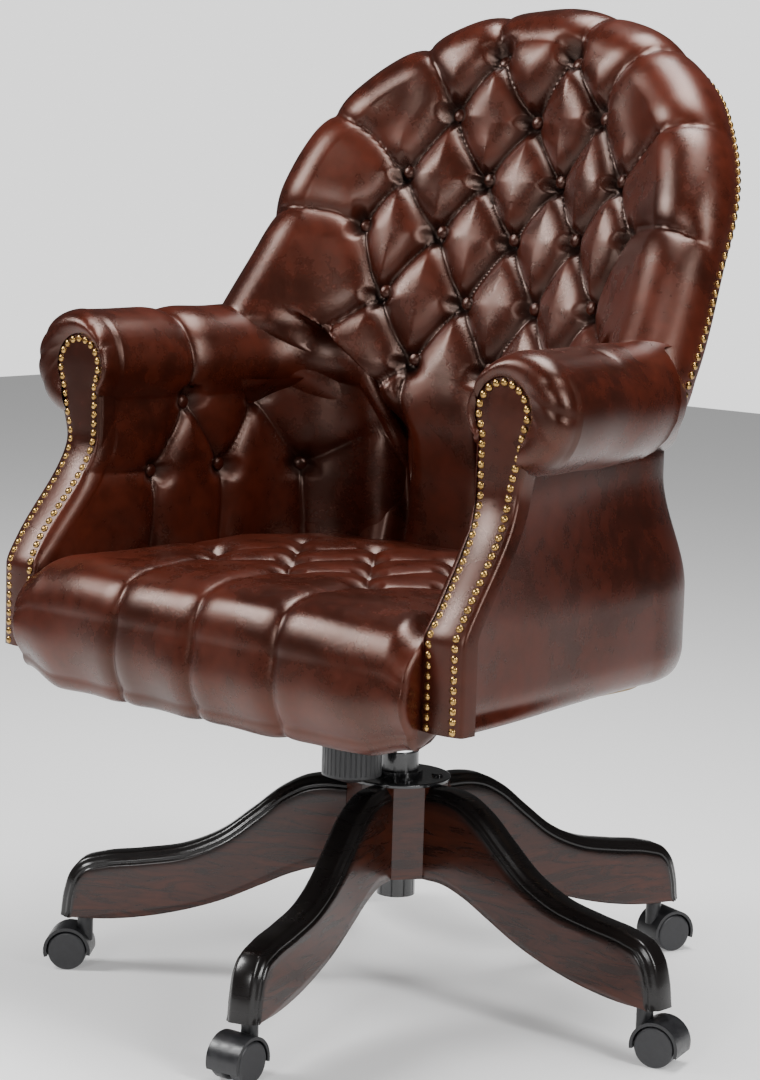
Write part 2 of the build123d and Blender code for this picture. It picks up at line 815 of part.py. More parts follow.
def hoop(foot_half, foot_z):
    """Front view of the back: straight-sided up to the springing, then half an ellipse."""
    foot_wide = back_half_width + back_flare
    rise = back_top - back_spring_z
    arch = EllipticalCenterArc((0, back_spring_z), back_half_width, rise, 0, arc_size=180)
    wire = Wire(
        [
            *arch.edges(),
            Edge.make_line((-back_half_width, back_spring_z), (-foot_wide, back_shoulder_z)),
            Edge.make_line((-foot_wide, back_shoulder_z), (-foot_half, back_shoulder_z - 30)),
            Edge.make_line((-foot_half, back_shoulder_z - 30), (-foot_half, foot_z)),
            Edge.make_line((-foot_half, foot_z), (foot_half, foot_z)),
            Edge.make_line((foot_half, foot_z), (foot_half, back_shoulder_z - 30)),
            Edge.make_line((foot_half, back_shoulder_z - 30), (foot_wide, back_shoulder_z)),
            Edge.make_line((foot_wide, back_shoulder_z), (back_half_width, back_spring_z)),
        ]
    )
    prism = extrude(Plane.XZ * make_face(wire), 500, both=True)
    return prism & block(-500, 500, -20, 500, 0, back_top + 10)


def back_pad():
    """Curved pad of the inside back, with its border."""
    pad = lean_cylinder(back_curve_radius + back_pad_thickness) - lean_cylinder(back_curve_radius)
    pad &= hoop(back_inner_half, back_pad_bottom)
    return pad.solids().sort_by(Axis.Y)[-1]


def rear_wall_solid():
    """Lower rear wall, round the corners from one arm to the other."""
    def plan(inset):
        radius = rear_corner_radius - inset
        half = rear_half_x - inset
        rear = rear_face_y - inset
        start = rear_face_y - rear_corner_radius
        slab = block(-half, half, start, rear, arm_wall_bottom, rear_wall_top)
        upright = [edge for edge in slab.edges().filter_by(Axis.Z) if edge.center().Y > rear - 1]
        return fillet(upright, radius - 0.5)
    return plan(0) - plan(rear_wall)


def back_shell():
    """Structural shell behind the pad, carried down into the lower rear wall."""
    front = lean_cylinder(back_curve_radius + back_pad_thickness)
    rear = lean_cylinder(back_curve_radius + back_pad_thickness + back_shell_thickness)
    shell = (rear - front) & hoop(rear_half_x - 6, back_pad_bottom)
    shell = shell.solids().sort_by(Axis.Y)[-1]
    lower = rear_wall_solid() - lean_cylinder(back_curve_radius + back_pad_thickness)
    return shell + lower.solids().sort_by(SortBy.VOLUME)[-1]


def back_button_places():
    """Rows of buttons in a diamond pattern, each row half a spacing off the last."""
    places = []
    for row, count in enumerate(button_row_counts):
        height = button_row_top - row * button_row_drop
        for index in range(count):
            x = (index - (count - 1) / 2) * button_spacing
            places.append((x, height - abs(x) * 0.02))
    return places


def on_back(x, z):
    """Plane on the pad's curved surface at a given place, facing the sitter."""
    lean = math.radians(back_lean)
    sag = back_curve_radius - math.sqrt(back_curve_radius**2 - x**2)
    y = back_front_y + (z - back_front_z) * math.tan(lean) - sag / math.cos(lean)
    across_axis = Vector(x, (back_curve_radius - sag) * math.cos(lean), 0)
    across_axis += Vector(0, 0, -(back_curve_radius - sag) * math.sin(lean))
    return Plane(origin=(x, y, z), z_dir=-across_axis)


def button():
    """Low domed button on its back, facing +Z."""
    disc = Cylinder(button_radius, button_height, align=UP)
    return fillet(disc.edges().sort_by(Axis.Z)[-1:], button_height * 0.6)


def back_buttons():
    return [
        on_back(x, z) * Pos(0, 0, surface_gap + 0.1) * button() for x, z in back_button_places()
    ]


def arm_buttons():
    """Buttons on the inner face of one arm."""
    buttons = []
    for z, ys in arm_button_rows:
        for y in ys:
            share = (z - facing_sweep_low) / (arm_waist_z - facing_sweep_low)
            x = arm_wall_inner - 18 * min(1.0, share)
            tip = math.degrees(math.atan2(18, arm_waist_z - facing_sweep_low)) if share < 1 else 0
            reach = surface_gap
            if z > arm_waist_z:
                roll = arm_scroll_radius**2 - (arm_top - arm_scroll_radius - z) ** 2
                x = min(x, arm_scroll_x - math.sqrt(max(roll, 0.0)))
                reach = surface_gap + 6.0
            buttons.append(Pos(x - reach, y, z) * Rot(0, -90 - tip, 0) * button())
    return buttons


def seat_buttons():
    buttons = []
    for y, count in seat_button_rows:
        for index in range(count):
            x = (index - (count - 1) / 2) * seat_button_spacing
            buttons.append(Pos(x, y, seat_top + surface_gap) * button())
    return buttons


# ---- write every node ---------------------------------------------------------------------------

os.makedirs("parts", exist_ok=True)

one_leg = leg()
one_socket = castor_socket()
for number, angle in enumerate(leg_angles(), start=1):
    save(f"leg_{number}", in_plan(angle) * one_leg)
save("castor_sockets", *[in_plan(angle) * one_socket for angle in leg_angles()])
save("hub_core", hub_core())
save("hub_top_plate", hub_top_plate())
save("hub_screws", *hub_screws())
save("hub_sleeve", hub_sleeve())

save("lift_outer_tube", lift_outer_tube())
save("lift_guide_bush", lift_guide_bush())
save("lift_thrust_bearing", lift_thrust_bearing())
save("lift_retaining_clip", lift_retaining_clip())
save("lift_piston_rod", lift_piston_rod())
save("lift_cylinder", lift_cylinder())
save("valve_button", valve_button())

hood = castor_hood()
stem, axle = castor_pins()
wheel_left = castor_wheel(1)
wheel_right = castor_wheel(-1)
for number, angle in enumerate(leg_angles(), start=1):
    heading = castor_headings[number - 1]
    place = in_plan(angle) * Pos(castor_radius, 0, 0) * in_plan(heading)
    save(f"castor_{number}_hood", place * hood)
    save(f"castor_{number}_pins", place * stem, place * axle)
    save(f"castor_{number}_wheel_left", place * wheel_left)
    save(f"castor_{number}_wheel_right", place * wheel_right)

save("mech_housing", mech_housing())
save("pivot_pin", pivot_pin())
save("lever_pin", lever_pin())
save("seat_plate", seat_plate())
save("seat_bolts", *seat_bolts())
save("tension_bolt", tension_bolt())
save("tension_knob", tension_knob())
save("tilt_spring", tilt_spring())
save("height_lever", height_lever())
save("lever_grip", lever_grip())

save("seat_board", seat_board())
save("dust_cover", dust_cover())
save("seat_cushion", seat_cushion())
pad = back_pad()
shell = back_shell()
left_facing = facing()
left_arm = (arm() - pad - shell).solids().sort_by(SortBy.VOLUME)[-1]
save("facing_left", left_facing)
save("facing_right", mirrored(left_facing))
save("arm_left", left_arm)
save("arm_right", mirrored(left_arm))
save("back_pad", pad)
save("back_shell", shell)
nails = facing_nails()
save("facing_nails", *nails, *[mirrored(item) for item in nails])
arm_side = arm_buttons()
save("buttons", *back_buttons(), *arm_side, *[mirrored(item) for item in arm_side], *seat_buttons())
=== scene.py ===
# %% [markdown]
# # A swivel office chair in buttoned leather
# The chair's structure (lift, tilt tray, hub, castors) comes as a fixed frame of solid
# parts. This notebook adds what a solid modeller is poor at: stuffed and buttoned leather,
# moulded wooden legs, nail heads, and every finish. All lengths are in metres, +Z is up and
# the seat faces -Y.

# %% load the frame
import bmesh
import bpy
import math
import numpy as np
from mathutils import Matrix, Vector


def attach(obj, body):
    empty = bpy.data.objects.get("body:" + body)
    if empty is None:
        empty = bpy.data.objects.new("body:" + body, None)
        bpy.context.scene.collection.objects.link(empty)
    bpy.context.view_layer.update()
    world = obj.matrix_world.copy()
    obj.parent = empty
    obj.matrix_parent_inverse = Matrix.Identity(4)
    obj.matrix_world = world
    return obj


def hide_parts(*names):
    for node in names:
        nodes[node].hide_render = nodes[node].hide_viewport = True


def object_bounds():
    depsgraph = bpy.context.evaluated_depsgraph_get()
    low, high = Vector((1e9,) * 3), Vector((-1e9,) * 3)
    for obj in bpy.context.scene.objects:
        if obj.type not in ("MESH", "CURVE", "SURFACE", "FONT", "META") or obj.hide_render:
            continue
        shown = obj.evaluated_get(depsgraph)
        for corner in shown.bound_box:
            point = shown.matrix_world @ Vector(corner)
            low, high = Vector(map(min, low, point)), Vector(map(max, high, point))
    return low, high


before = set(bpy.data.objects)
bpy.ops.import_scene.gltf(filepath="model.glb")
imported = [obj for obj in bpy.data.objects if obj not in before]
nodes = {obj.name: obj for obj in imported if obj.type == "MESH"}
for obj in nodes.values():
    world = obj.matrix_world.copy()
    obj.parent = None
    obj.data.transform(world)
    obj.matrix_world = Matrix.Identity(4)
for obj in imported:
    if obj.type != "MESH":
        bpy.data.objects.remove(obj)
cad_low, cad_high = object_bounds()
print("frame box", [round(v, 3) for v in (*cad_low, *cad_high)])

# %% [markdown]
# ## Helpers for surfaces
# Every new piece is a surface worked out with numpy: a grid of points that depends on two
# parameters. One helper puts such a grid into a mesh, with the grid's own lengths as a UV
# map and, for leather, a "fold" value that says how deep in a pleat a point lies.

# %% grid to mesh


def smoothstep(low, high, value):
    """0 below low, 1 above high, and 3t^2 - 2t^3 in between."""
    t = np.clip((value - low) / (high - low), 0.0, 1.0)
    return t * t * (3 - 2 * t)


def grid_faces(rows, columns, wrap_rows=False, wrap_columns=False):
    """Quads of a rows x columns grid; wrapping joins the last row or column to the first."""
    r = np.arange(rows if wrap_rows else rows - 1)
    c = np.arange(columns if wrap_columns else columns - 1)
    r, c = np.meshgrid(r, c, indexing="ij")
    r2 = (r + 1) % rows
    c2 = (c + 1) % columns
    quads = np.stack([r * columns + c, r2 * columns + c, r2 * columns + c2, r * columns + c2], -1)
    return quads.reshape(-1, 4)


def mesh_piece(name, points, faces, flip=False, values=None, merge=1e-5):
    """Object from points (n, 3) and quads; merges doubled points and shades smooth."""
    mesh = bpy.data.meshes.new(name)
    quads = faces[:, ::-1] if flip else faces
    mesh.from_pydata(points.reshape(-1, 3).tolist(), [], quads.tolist())
    if values is not None:
        for label, data in values.items():
            layer = mesh.attributes.new(label, "FLOAT", "POINT")
            layer.data.foreach_set("value", np.ascontiguousarray(data, np.float32).ravel())
    piece = bpy.data.objects.new(name, mesh)
    bpy.context.scene.collection.objects.link(piece)
    tidy_mesh(mesh, merge)
    mesh.shade_smooth()
    return piece


def tidy_mesh(mesh, merge):
    """Merges points that coincide and drops faces that collapse."""
    work = bmesh.new()
    work.from_mesh(mesh)
    bmesh.ops.remove_doubles(work, verts=work.verts, dist=merge)
    bmesh.ops.dissolve_degenerate(work, edges=work.edges, dist=merge * 0.1)
    work.to_mesh(mesh)
    work.free()


def surface_normals(points):
    """Unit normals of a grid of points, from the cross product of its two tangents."""
    du = np.gradient(points, axis=0)
    dv = np.gradient(points, axis=1)
    normal = np.cross(du, dv)
    length = np.linalg.norm(normal, axis=-1, keepdims=True)
    return normal / np.maximum(length, 1e-12)


# %% [markdown]
# ## Buttoned leather as a height field
# Deep buttoning pulls the hide down to the frame at each button. The spare leather is
# folded into pleats that run from button to button, and the stuffing makes a pillow
# between them. The height of such a surface is a simple formula: near a pleat it follows
# a quarter circle, so it drops steeply into the crease, and along the pleat the crease
# itself sinks towards each button.

# %% pleats and buttons


def puff(share):
    """Quarter-circle profile: 0 with a steep rise at the crease, 1 when share reaches 1."""
    q = np.clip(share, 0.0, 1.0)
    return np.sqrt(np.maximum(1.0 - (1.0 - q) ** 2, 0.0))


def segment_distance(px, py, start, end):
    """Distance from points to a segment, and how far along it the nearest place is."""
    ax, ay = start
    dx, dy = end[0] - ax, end[1] - ay
    along = ((px - ax) * dx + (py - ay) * dy) / (dx * dx + dy * dy)
    along = np.clip(along, 0.0, 1.0)
    return np.hypot(px - ax - along * dx, py - ay - along * dy), along


def tuft_depth(px, py, buttons, pleats, dip=0.026, dip_radius=0.017):
    """Depth below the pillow tops: the deepest of all pleats and button dips.

    A pleat is (start, end, depth at start, depth at end, depth in the middle, half width).
    Its depth at a point is its own depth there times one minus the puff profile of the
    distance; a button dip is a bell of the given radius.
    """
    deepest = np.zeros_like(px)
    for start, end, deep_start, deep_end, deep_middle, width in pleats:
        away, along = segment_distance(px, py, start, end)
        length = math.hypot(end[0] - start[0], end[1] - start[1])
        near_start = np.exp(-((along * length / 0.020) ** 2))
        near_end = np.exp(-(((1 - along) * length / 0.020) ** 2))
        depth = deep_middle + (deep_start - deep_middle) * near_start
        depth = depth + (deep_end - deep_middle) * near_end
        deepest = np.maximum(deepest, depth * (1 - puff(away / width)))
    for bx, by in buttons:
        away = np.hypot(px - bx, py - by)
        deepest = np.maximum(deepest, dip * np.exp(-((away / dip_radius) ** 2)))
    return deepest


def soft_noise(px, py, scale, seed):
    """Smooth, repeatable bumps: a sum of a few seeded sine waves."""
    rng = np.random.default_rng(seed)
    total = np.zeros_like(px)
    for _ in range(6):
        angle, phase = rng.uniform(0, 2 * math.pi, 2)
        stretch = rng.uniform(0.6, 1.6)
        wave = (px * math.cos(angle) + py * math.sin(angle)) * stretch / scale
        total = total + np.sin(wave * 2 * math.pi + phase)
    return total / 6


# %% [markdown]
# ## Finishes
# Antiqued hide is a dark stain wiped over a red-brown ground: the stain stays in the folds
# and is rubbed away on the crowns. The darkening by fold depth is partly that stain and partly
# painted shade, and the bottoms of the deepest folds are painted near black as shade. A darker
# copy of the hide for the facings and buttons is painted shade. Grain is bump only, because it
# is smaller than a millimetre; fine creases are bump and are also drawn a little darker. The
# grain and the mottled stain are used by several materials, so each is a node group.

# %% shader group helpers


def new_group(name, inputs, outputs):
    """Empty shader group with float or colour sockets; returns it with its two end nodes."""
    group = bpy.data.node_groups.new(name, "ShaderNodeTree")
    for label, kind, value in inputs:
        socket = group.interface.new_socket(label, in_out="INPUT", socket_type=kind)
        if value is not None:
            socket.default_value = value
    for label, kind in outputs:
        group.interface.new_socket(label, in_out="OUTPUT", socket_type=kind)
    start = group.nodes.new("NodeGroupInput")
    end = group.nodes.new("NodeGroupOutput")
    return group, start, end


FLOAT = "NodeSocketFloat"
COLOUR = "NodeSocketColor"
VECTOR = "NodeSocketVector"


def math_node(tree, operation, first, second=None, clamp=False):
    """A Math node; each input is a socket to link or a number to set."""
    node = tree.nodes.new("ShaderNodeMath")
    node.operation = operation
    node.use_clamp = clamp
    for index, value in enumerate((first, second)):
        if value is None:
            continue
        if hasattr(value, "links"):
            tree.links.new(value, node.inputs[index])
        else:
            node.inputs[index].default_value = value
    return node.outputs[0]


def mix_colour(tree, factor, first, second, mode="MIX"):
    """A colour Mix node; each input is a socket to link or a colour or number to set."""
    node = tree.nodes.new("ShaderNodeMix")
    node.data_type = "RGBA"
    node.blend_type = mode
    sockets = (node.inputs["Factor"], node.inputs[6], node.inputs[7])
    for socket, value in zip(sockets, (factor, first, second)):
        if hasattr(value, "links"):
            tree.links.new(value, socket)
        elif isinstance(value, (int, float)):
            socket.default_value = value
        else:
            socket.default_value = (*value, 1.0)
    return node.outputs[2]


def noise(tree, vector, scale, detail=3.0, roughness=0.5, distortion=0.0):
    node = tree.nodes.new("ShaderNodeTexNoise")
    node.inputs["Scale"].default_value = scale
    node.inputs["Detail"].default_value = detail
    node.inputs["Roughness"].default_value = roughness
    node.inputs["Distortion"].default_value = distortion
    tree.links.new(vector, node.inputs["Vector"])
    return node.outputs["Fac"]


def ramp(tree, value, low, high):
    """Map Range from low..high to 0..1, clamped, with a smooth step."""
    node = tree.nodes.new("ShaderNodeMapRange")
    node.interpolation_type = "SMOOTHSTEP"
    tree.links.new(value, node.inputs["Value"])
    node.inputs["From Min"].default_value = low
    node.inputs["From Max"].default_value = high
    return node.outputs["Result"]


def build_hide_group():
    """Leather grain height and mottled stain mask, from a position in metres."""
    group, start, end = new_group(
        "hide", [("Position", VECTOR, None), ("Grain Scale", FLOAT, 900.0)],
        [("Height", FLOAT), ("Mottle", FLOAT), ("Crease", FLOAT)],
    )
    place = start.outputs["Position"]
    cells = group.nodes.new("ShaderNodeTexVoronoi")
    cells.feature = "DISTANCE_TO_EDGE"
    group.links.new(place, cells.inputs["Vector"])
    group.links.new(start.outputs["Grain Scale"], cells.inputs["Scale"])
    pores = ramp(group, cells.outputs["Distance"], 0.0, 0.25)
    creases = noise(group, place, 34.0, 2.0, 0.5, 0.3)
    ridge = math_node(group, "ABSOLUTE", math_node(group, "SUBTRACT", creases, 0.5))
    crease = ramp(group, ridge, 0.0, 0.09)
    pore_height = math_node(group, "MULTIPLY", pores, 0.75)
    crease_height = math_node(group, "MULTIPLY", crease, 0.25)
    height = math_node(group, "ADD", pore_height, crease_height)
    broad = noise(group, place, 7.0, 4.0, 0.6, 0.4)
    fine = noise(group, place, 46.0, 4.0, 0.65, 0.2)
    broad_part = math_node(group, "MULTIPLY", broad, 0.62)
    fine_part = math_node(group, "MULTIPLY", fine, 0.38)
    mottle = math_node(group, "ADD", broad_part, fine_part)
    group.links.new(height, end.inputs["Height"])
    group.links.new(ramp(group, mottle, 0.36, 0.66), end.inputs["Mottle"])
    group.links.new(crease, end.inputs["Crease"])
    return group


def build_wear_group():
    """Fine scratches and dust variation for hard finishes, from a position in metres."""
    group, start, end = new_group(
        "handling_wear", [("Position", VECTOR, None), ("Scale", FLOAT, 60.0)],
        [("Smudge", FLOAT), ("Speck", FLOAT)],
    )
    place = start.outputs["Position"]
    scaled = group.nodes.new("ShaderNodeVectorMath")
    scaled.operation = "SCALE"
    group.links.new(place, scaled.inputs[0])
    group.links.new(start.outputs["Scale"], scaled.inputs["Scale"])
    smudge = noise(group, scaled.outputs[0], 1.0, 4.0, 0.6, 0.5)
    speck = noise(group, scaled.outputs[0], 14.0, 2.0, 0.5, 0.0)
    group.links.new(ramp(group, smudge, 0.35, 0.7), end.inputs["Smudge"])
    group.links.new(ramp(group, speck, 0.55, 0.75), end.inputs["Speck"])
    return group


hide_group = build_hide_group()
wear_group = build_wear_group()
print("shader groups", hide_group.name, wear_group.name)

# %% material helpers


def new_material(name):
    material = bpy.data.materials.new(name)
    material.use_nodes = True
    tree = material.node_tree
    shader = tree.nodes["Principled BSDF"]
    coordinates = tree.nodes.new("ShaderNodeTexCoord")
    return material, tree, shader, coordinates.outputs["Object"]


def add_bump(tree, shader, height, strength, distance):
    bump = tree.nodes.new("ShaderNodeBump")
    bump.inputs["Strength"].default_value = strength
    bump.inputs["Distance"].default_value = distance
    tree.links.new(height, bump.inputs["Height"])
    tree.links.new(bump.outputs["Normal"], shader.inputs["Normal"])


def use_group(tree, group, place, **values):
    node = tree.nodes.new("ShaderNodeGroup")
    node.node_tree = group
    tree.links.new(place, node.inputs["Position"])
    for label, value in values.items():
        node.inputs[label.replace("_", " ")].default_value = value
    return node


def scaled_range(tree, value, low, high):
    """low where value is 0 and high where it is 1."""
    node = tree.nodes.new("ShaderNodeMapRange")
    tree.links.new(value, node.inputs["Value"])
    node.inputs["To Min"].default_value = low
    node.inputs["To Max"].default_value = high
    return node.outputs["Result"]


# %% leather

OXBLOOD = (0.0205, 0.0037, 0.0017)
RUBBED_RED = (0.056, 0.0082, 0.0032)
DARK_STAIN_AND_SHADE = (0.0060, 0.0019, 0.0013)
PAINTED_SHADE_BLACK = (0.0035, 0.0017, 0.0015)


def leather_material(name, shade_all_over=0.0):
    """Antiqued hide: rubbed crowns; fold darkening that is partly dark stain and partly painted
    shade; painted near-black shade in the deepest folds; an optional painted shade all over; grain
    and creases as bump, creases also a little darker.
    """
    material, tree, shader, place = new_material(name)
    hide = use_group(tree, hide_group, place, Grain_Scale=820.0)
    fold = tree.nodes.new("ShaderNodeAttribute")
    fold.attribute_name = "fold"
    ground = mix_colour(tree, hide.outputs["Mottle"], OXBLOOD, RUBBED_RED)
    # Fold depth darkens the hide: partly the antique stain kept in the pleats, partly painted shade.
    # The all-over darkening added to it, for the darker copy, is painted shade.
    in_fold = math_node(tree, "MULTIPLY", ramp(tree, fold.outputs["Fac"], 0.12, 0.75), 0.85)
    darken = math_node(tree, "ADD", in_fold, shade_all_over, True)
    stained_and_shaded = mix_colour(tree, darken, ground, DARK_STAIN_AND_SHADE)
    in_crease = scaled_range(tree, hide.outputs["Crease"], 0.10, 0.0)
    creased = mix_colour(tree, in_crease, stained_and_shaded, DARK_STAIN_AND_SHADE)
    # Painted shade: the bottoms of the deepest folds are taken to near black.
    deep = ramp(tree, fold.outputs["Fac"], 0.62, 1.0)
    tree.links.new(mix_colour(tree, deep, creased, PAINTED_SHADE_BLACK), shader.inputs["Base Color"])
    gloss = scaled_range(tree, hide.outputs["Mottle"], 0.24, 0.33)
    tree.links.new(gloss, shader.inputs["Roughness"])
    shader.inputs["Specular IOR Level"].default_value = 0.50
    shader.inputs["Specular Tint"].default_value = (1.0, 0.66, 0.54, 1.0)
    shader.inputs["Coat Weight"].default_value = 0.08
    shader.inputs["Coat Roughness"].default_value = 0.22
    add_bump(tree, shader, hide.outputs["Height"], 0.16, 0.0005)
    return material


hide = leather_material("oxblood_hide")
# A darker copy of the same hide, darkened all over as painted shade, for the facings and the
# buttons.
shaded_hide = leather_material("oxblood_hide_painted_shade", 0.25)

print("leathers", hide.name, shaded_hide.name)

# %% wood, metal and plastic

WALNUT_DARK = (0.0120, 0.0030, 0.0014)
WALNUT_RED = (0.056, 0.0115, 0.0042)
WALNUT_PORE = (0.006, 0.003, 0.002)
EDGE_BLACK = (0.0045, 0.0032, 0.0030)


def walnut_material():
    """Dark-stained wood: stretched noise makes the figure, darker along moulded edges."""
    material, tree, shader, place = new_material("stained_walnut")
    grain_map = tree.nodes.new("ShaderNodeMapping")
    grain_map.inputs["Scale"].default_value = (1.0, 1.0, 6.0)
    tree.links.new(place, grain_map.inputs["Vector"])
    figure = noise(tree, grain_map.outputs["Vector"], 14.0, 6.0, 0.62, 1.2)
    pores = noise(tree, grain_map.outputs["Vector"], 160.0, 3.0, 0.6, 0.0)
    edge = tree.nodes.new("ShaderNodeAttribute")
    edge.attribute_name = "edge"
    ground = mix_colour(tree, ramp(tree, figure, 0.30, 0.70), WALNUT_DARK, WALNUT_RED)
    in_pore = scaled_range(tree, ramp(tree, pores, 0.55, 0.75), 0.0, 0.5)
    pored = mix_colour(tree, in_pore, ground, WALNUT_PORE)
    edged = mix_colour(tree, edge.outputs["Fac"], pored, EDGE_BLACK)
    tree.links.new(edged, shader.inputs["Base Color"])
    tree.links.new(scaled_range(tree, figure, 0.22, 0.34), shader.inputs["Roughness"])
    shader.inputs["Specular IOR Level"].default_value = 0.35
    shader.inputs["Coat Weight"].default_value = 0.20
    shader.inputs["Coat Roughness"].default_value = 0.14
    add_bump(tree, shader, pores, 0.10, 0.0003)
    return material


def hard_material(
    name, colour, roughness, metallic=0.0, coat=0.0, bump=0.05, scale=60.0, second=None
):
    """A metal or plastic finish with faint smudges in its gloss and specks in its surface."""
    material, tree, shader, place = new_material(name)
    wear = use_group(tree, wear_group, place, Scale=scale)
    tint = second if second else tuple(min(1.0, c * 1.35 + 0.002) for c in colour)
    smudge = wear.outputs["Smudge"]
    tree.links.new(mix_colour(tree, smudge, colour, tint), shader.inputs["Base Color"])
    gloss = scaled_range(tree, smudge, roughness * 0.85, roughness * 1.2)
    tree.links.new(gloss, shader.inputs["Roughness"])
    shader.inputs["Metallic"].default_value = metallic
    shader.inputs["Coat Weight"].default_value = coat
    shader.inputs["Coat Roughness"].default_value = 0.08
    add_bump(tree, shader, wear.outputs["Speck"], bump, 0.0004)
    return material


walnut = walnut_material()
black_enamel = hard_material("black_enamel", (0.012, 0.012, 0.013), 0.22, coat=0.5)
chrome = hard_material("polished_chrome", (0.78, 0.79, 0.81), 0.07, metallic=1.0, bump=0.01)
zinc = hard_material("zinc_plate", (0.42, 0.42, 0.41), 0.34, metallic=1.0)
black_nylon = hard_material("black_nylon", (0.012, 0.012, 0.0135), 0.36, bump=0.12, scale=120.0)
wheel_nylon = hard_material("wheel_nylon", (0.016, 0.016, 0.018), 0.42, bump=0.18, scale=140.0)
antique_brass = hard_material(
    "antique_brass", (0.48, 0.30, 0.10), 0.27, metallic=1.0, scale=300.0, second=(0.20, 0.11, 0.035)
)
birch = hard_material("birch_ply", (0.42, 0.30, 0.17), 0.6, bump=0.2, second=(0.33, 0.22, 0.12))
cambric = hard_material("black_cambric", (0.010, 0.010, 0.010), 0.9, bump=0.5, scale=500.0)

NODE_FINISHES = {
    "hub_core": walnut, "hub_top_plate": black_enamel, "hub_sleeve": black_enamel,
    "lift_outer_tube": black_enamel, "mech_housing": black_enamel, "seat_plate": black_enamel,
    "lift_cylinder": chrome, "lift_guide_bush": black_nylon, "tension_knob": black_nylon,
    "lever_grip": black_nylon, "seat_board": birch, "dust_cover": cambric,
    "hub_screws": black_enamel,
}


def finish_for(node):
    if node in NODE_FINISHES:
        return NODE_FINISHES[node]
    if "wheel" in node:
        return wheel_nylon
    if "hood" in node:
        return black_nylon
    return zinc


for node, thing in nodes.items():
    if thing.data.materials:
        thing.data.materials[0] = finish_for(node)
    else:
        thing.data.materials.append(finish_for(node))
print("finished", len(nodes), "frame parts")


def leather_piece(piece, node_names, material=None):
    """Common ending of every upholstered piece: finish, body and what it stands for."""
    piece.data.materials.clear()
    piece.data.materials.append(material or hide)
    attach(piece, "seat_body")
    if node_names:
        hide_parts(*node_names)
    print(piece.name, len(piece.data.polygons), "faces")


# %% [markdown]
# ## Inside back
# The inside back is a hoop: a barrel-curved pad with a fat stuffed border rolled over the
# frame's edge. Its grid runs from a centre line out to the hoop and then round the border
# roll to the nail line behind. The buttoning is a height field in the front view.

# %% shape of the hoop

BACK_TOP = cad_high[2]
HOOP_SPRING = 0.850
ROLL_RADIUS = 0.048
HOOP_HALF = 0.268
HOOP_RISE = BACK_TOP - HOOP_SPRING - ROLL_RADIUS
BACK_FOOT = 0.478


def pillow_y(x, z):
    """Y of the pillow tops: a barrel across that leans back 0.255 per metre.

    It curls back above 0.960 and is upright below 0.680.
    """
    lean = 0.150 + (z - 0.827) * 0.255
    curl = 2.7 * np.maximum(z - 0.960, 0.0) ** 2
    low = np.maximum(0.680 - z, 0.0)
    straighten = 0.255 * low * smoothstep(0.0, 0.12, low)
    return lean + curl + straighten - x**2 / (2 * 0.355 * 0.969)


def crease_x(z):
    """Half distance between the arm pads where they meet the back, wider towards their tops."""
    opening = np.maximum((z - 0.65) / 0.1, 0.0) ** 2.2
    return 0.105 + 0.032 * smoothstep(0.50, 0.67, z) + 0.17 * opening


def roll_centre_y(x, z):
    """Y of the border roll's centre line; the barrel flattens towards the top."""
    radius = 0.360 + 1.2 * np.maximum(z - 0.700, -0.05)
    return 0.194 + (z - 0.850) * 0.255 - x**2 / (2 * radius * 0.969)


def hoop_line(count):
    """Centre line of the border roll in front view: up one side, round half an ellipse, down."""
    side = count // 4
    z_side = np.linspace(BACK_FOOT, HOOP_SPRING, side, endpoint=False)
    spread = HOOP_HALF + 0.022 * smoothstep(HOOP_SPRING, 0.690, z_side)
    x_side = spread - 0.140 * smoothstep(0.710, 0.600, z_side)
    angle = np.linspace(0, math.pi, count - 2 * side)
    x = np.concatenate([x_side, HOOP_HALF * np.cos(angle), -x_side[::-1]])
    z = np.concatenate([z_side, HOOP_SPRING + HOOP_RISE * np.sin(angle), z_side[::-1]])
    return x, z


# %% buttons and pleats of the back

BUTTON_STEP = 0.100
ROW_HEIGHTS = (1.032, 0.970, 0.901, 0.836, 0.762, 0.690)
ROW_COUNTS = (2, 3, 4, 5, 4, 3)
ROW_SPREAD = (1.10, 1.06, 1.02, 0.975, 1.0, 1.0)


def button_row(row):
    """Buttons of one row, centred, sinking a little towards the sides."""
    count = ROW_COUNTS[row]
    xs = [(index - (count - 1) / 2) * BUTTON_STEP for index in range(count)]
    return [(x * ROW_SPREAD[row], ROW_HEIGHTS[row] + 0.05 * abs(x)) for x in xs]


back_rows = [button_row(row) for row in range(len(ROW_COUNTS))]
back_buttons = [spot for row in back_rows for spot in row]


def diamond_pleats(rows, reach, deep, middle, width):
    """Pleats from each button to its diagonal neighbours in the next row."""
    pleats = []
    for upper, lower in zip(rows, rows[1:]):
        for start in upper:
            for end in lower:
                if math.dist(start, end) < reach:
                    pleats.append((start, end, deep, deep, middle, width))
    return pleats


def radial_pleat(start, heading_degrees, length, middle=0.011):
    """A pleat from an edge button out over the border, dying away at the outer edge."""
    angle = math.radians(heading_degrees)
    end = (start[0] + length * math.cos(angle), start[1] + length * math.sin(angle))
    return (start, end, 0.026, 0.004, middle, 0.034)


